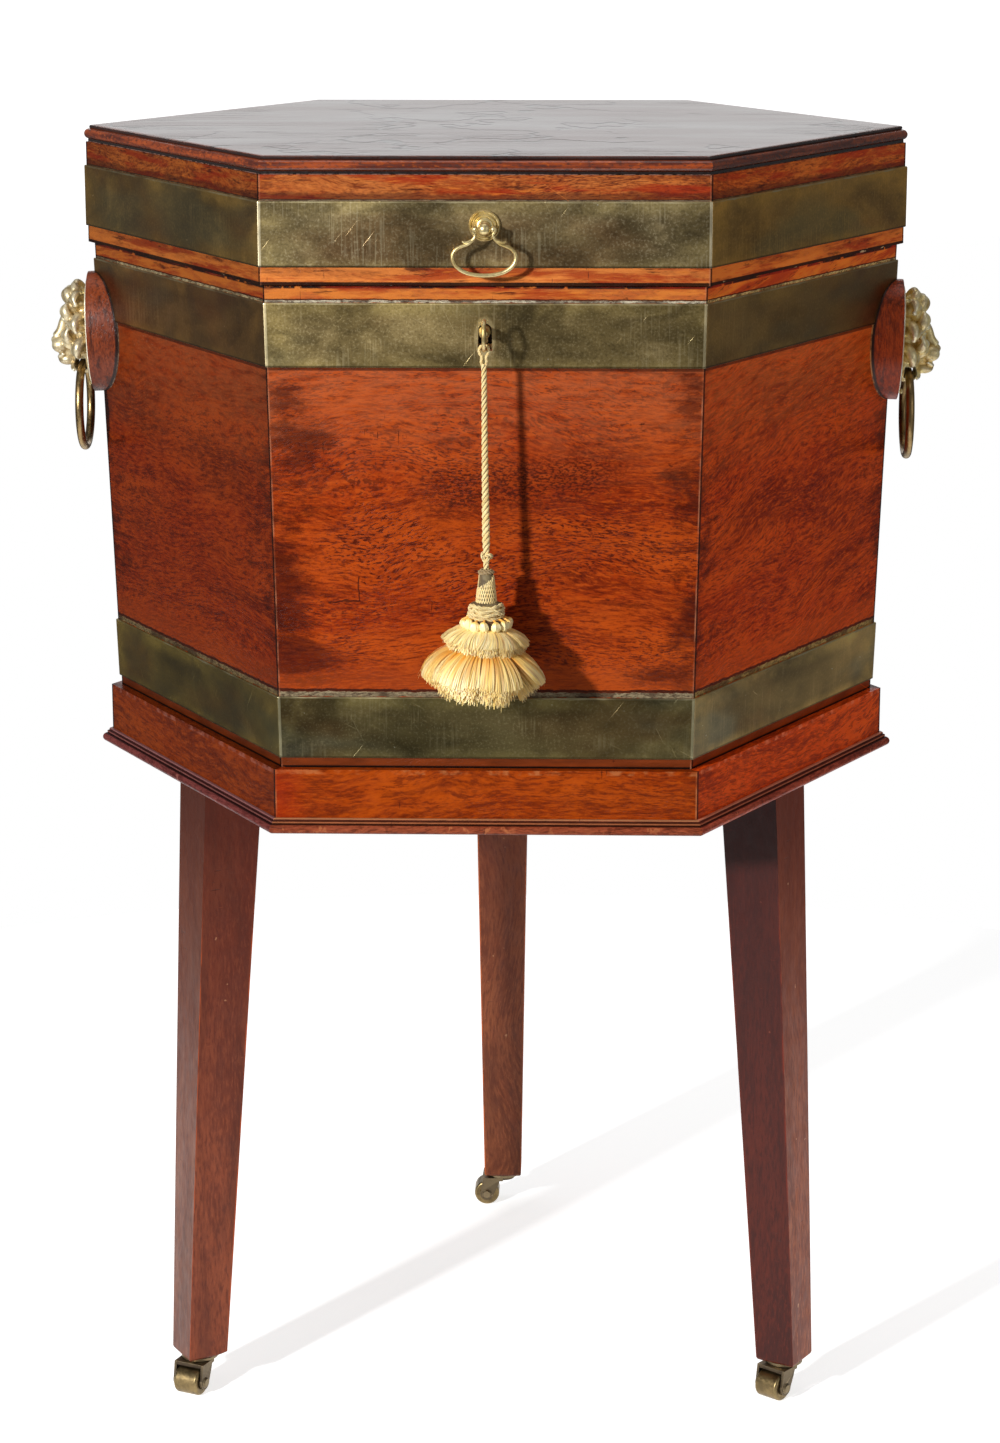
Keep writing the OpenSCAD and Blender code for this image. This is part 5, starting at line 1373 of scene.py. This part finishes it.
def keyhole():
    """Prism through the front of the upper band: round top, flared slot below."""
    outline = arc(0, KEY_Z, 3.4, 180, 0, 21) + [[3.8, KEY_Z - 10.6], [-3.8, KEY_Z - 10.6]]
    n = len(outline)
    verts = [[x, y, z] for y in (-215, -180) for x, z in outline]
    sides = [[j, j + n, (j + 1) % n + n, (j + 1) % n] for j in range(n)]
    return verts, [list(range(n)), list(range(n, 2 * n))[::-1]] + sides


# painted light and shade: colour gains of the six faces, from the one at 30 degrees on: three at the back,
# then left, front and right
CASE_FACE_LIGHT = [[0.58, 0.52, 0.5]] * 3 + [[0.4, 0.36, 0.26], [0.8, 0.8, 0.76], [1.9, 1.5, 0.74]]
LID_FACE_LIGHT = CASE_FACE_LIGHT[:5] + [[1.6, 1.26, 0.74]]
RAIL_FACE_LIGHT = [[0.55, 0.5, 0.55]] * 3 + [[0.49, 0.5, 0.77], [0.94, 0.92, 0.64], [2.9, 2.1, 2.0]]
MOULDING_FACE_LIGHT = RAIL_FACE_LIGHT[:5] + [[1.9, 1.5, 1.3]]
BAND_BACK_FACE_LIGHT = [[0.9, 0.8, 0.6]] * 3
PANEL_LEANS = [0, 0, 0, 2, 0, 9]  # tilt of each panel's grain


def add_case():
    panel = six_boards(CASE_Z, RIM_Z, CASE_FACE_LIGHT, A_LOW, A_RIM, PANEL_LEANS)
    refined("front_panel", CASE_WOOD, 0.45, 3, coords=panel)
    refined("side_panels", CASE_WOOD, 0.45, 3, coords=panel)
    refined("lid_sides", LID_WOOD, 0.45, 3, coords=six_boards(LID_Z, LID_TOP_Z, LID_FACE_LIGHT, A_LID, A_LID))
    top = refined("top_board", LID_TOP, 0.0, coords=lid_top_coords, smooth=30)
    top.data.materials.append(LID_BEAD)
    top.data.materials.append(LID_INSIDE)
    for face in top.data.polygons:
        face.material_index = int(face.normal.z < 0.9) + int(face.normal.z < -0.9)


def add_band(node, mat, z0, z1, a0, a1, tints, hole=None):
    """Brass band from z0 to z1, a0 and a1 from the axis there, with softened outer edges."""
    edge = [[0.75, 0], [1.0, 0.12], [BAND_T, 0.4], [BAND_T, 0.8], [BAND_T, 32.2], [BAND_T, 32.7],
            [1.0, 33.05], [0.75, 33.3], [0.02, 33.3], [0.02, 0]]
    tall = edge[-2][1]
    profile = [[a0 + (a1 - a0) * z / tall + x, z0 + (z1 - z0) * z / tall] for x, z in edge]
    swept(node, mat, profile, six_boards(z0, z1, BAND_BACK_FACE_LIGHT + tints, a0, a1), hole)


def add_stand():
    refined("stand_rails", RAIL_WOOD, 0.7, 3, coords=six_boards(STAND_Z, RAIL_TOP_Z, RAIL_FACE_LIGHT, RAIL_A, RAIL_A))
    bead = [[0.1, 0], [1.2, 0], [1.3, 0.35]] + arc(2.7, 3.0, 2.6, -88, 82, 15)
    bead += [[2.75, 5.62], [2.72, 5.8]] + arc(2.25, 6.35, 0.75, -35, 80, 7)
    bead += [[1.95, 7.15], [1.9, 7.45], [1.85, 7.95], [1.6, 8.35], [1.3, 8.4], [0.1, 8.4]]
    swept("stand_moulding", MOULD_WOOD, [[RAIL_A + 0.001 + x, STAND_Z + z] for x, z in bead],
          six_boards(STAND_Z, STAND_Z + bead[-1][1], MOULDING_FACE_LIGHT, 198, 198))
    # painted light and shade: colour gains of each leg's outer and side faces
    for tag, azimuth, face, side_face in (("left", 210, (0.75, 0.96, 1.06), (1.13, 1.0, 0.82)),
                                          ("right", 330, (2.4, 2.5, 2.25), (0.34, 0.16, 0.12)),
                                          ("rear", 90, (1.35, 1.48, 1.2), (2.5, 2.4, 1.6))):
        refined("leg_" + tag, LEG_WOOD, 0.9, 4, coords=leg_coords(azimuth, face, side_face), foot=2.4)
        refined("fork_" + tag, DARK, 0.8, 4)
        refined("roller_" + tag, ROLLER, 2.2, 6, angle=50)


add_case()
# painted light and shade: the three gains after the back faces are each band's left, front and right faces
add_band("lower_band", LOW_BAND, 401.1, 434.4, case_a(401.1), case_a(434.4),
         [[1.75, 1.6, 1.0], [1.05, 1.08, 1.08], [4.3, 3.8, 3.5]])
add_band("upper_band", KEY_BAND, 609.4, 642.8, case_a(609.4), case_a(642.8),
         [[1.22, 0.86, 0.67], [1.03, 0.99, 0.98], [1.2, 0.92, 0.65]], keyhole())
add_band("lid_band", BAND, 661.2, 694.8, A_LID, A_LID,
         [[1.5, 1.18, 0.8], [1.05, 1.04, 1.17], [1.9, 1.38, 0.76]])
add_stand()
for node, mat, width in (("caster_plates", DARK, 0.3), ("liner", LEAD, 0.3), ("lock_case", DARK, 0.25),
                         ("strike", BRIGHT, 0.25), ("case_leaves", OLD, 0.2), ("lid_leaves", OLD, 0.2)):
    refined(node, mat, width, 2)
for node, ob in NODES.items():
    if not ob.hide_render:
        ob.data.materials.clear()
        ob.data.materials.append(PAINT.get(SLOT_OF[node], CARCASE))


# ---------- floor, light, world ----------

def stage_material(name, colour, glow):
    """Pale surface that glows for what sees it straight or in a mirror, and lights nothing."""
    m = Mat(name, Roughness=0.9, Specular_IOR_Level=0.0)
    m.col = colour
    path = m.t.nodes.new("ShaderNodeLightPath").outputs
    seen = m.max(path["Is Camera Ray"], m.max(path["Is Glossy Ray"], path["Is Transmission Ray"]))
    return m.done(Emission_Color=(1.0, 1.0, 1.0, 1.0), Emission_Strength=m.product(seen, glow))


def add_stage():
    disc = [[0.9 * math.cos(a), 0.9 * math.sin(a), 0] for a in around(96)]
    wall = [[-1.7, 4.2, 0.2], [1.7, 4.2, 0.2], [1.7, 4.2, 2.6], [-1.7, 4.2, 2.6]]
    for name, verts, grey, glow in (("floor", disc, 240, 0.7), ("backdrop", wall, 190, 1.0)):
        ob = add_object(name, verts, [list(range(len(verts)))])
        ob.data.materials.append(stage_material(name, (grey,) * 3, glow))


def lamp(name, at, aim, size, power):
    data = bpy.data.lights.new(name, "AREA")
    data.shape, data.size, data.size_y, data.energy = "RECTANGLE", size[0], size[1], power
    ob = bpy.data.objects.new(name, data)
    scene.collection.objects.link(ob)
    ob.location = at
    ob.rotation_euler = (Vector(aim) - Vector(at)).to_track_quat("-Z", "Y").to_euler()
    ob.visible_camera = False


def add_light():
    """Three lamps and a plain grey world, darker for mirror rays and white for the camera."""
    world = bpy.data.worlds.new("studio")
    scene.world = world
    world.use_nodes = True
    t = world.node_tree
    path = t.nodes.new("ShaderNodeLightPath").outputs
    last = t.nodes.new("ShaderNodeRGB").outputs[0]
    last.default_value = (0.17, 0.17, 0.17, 1)
    for ray, level in (("Is Glossy Ray", 0.14), ("Is Camera Ray", 1.0)):
        mix = t.nodes.new("ShaderNodeMix")
        mix.data_type = "RGBA"
        mix.inputs[7].default_value = (level, level, level, 1)
        t.links.new(path[ray], mix.inputs[0])
        t.links.new(last, mix.inputs[6])
        last = mix.outputs[2]
    t.links.new(last, t.nodes["Background"].inputs[0])
    lamp("key_lamp", (-1.48, -2.05, 1.23), (0, 0, 0.5), (0.16, 0.16), 78)
    lamp("fill_lamp", (2.0, -1.7, 1.2), (0, 0, 0.45), (1.4, 1.6), 7)
    lamp("top_lamp", (0, 0.2, 2.6), (0, 0, 0.6), (1.6, 1.6), 10)


add_stage()
add_light()
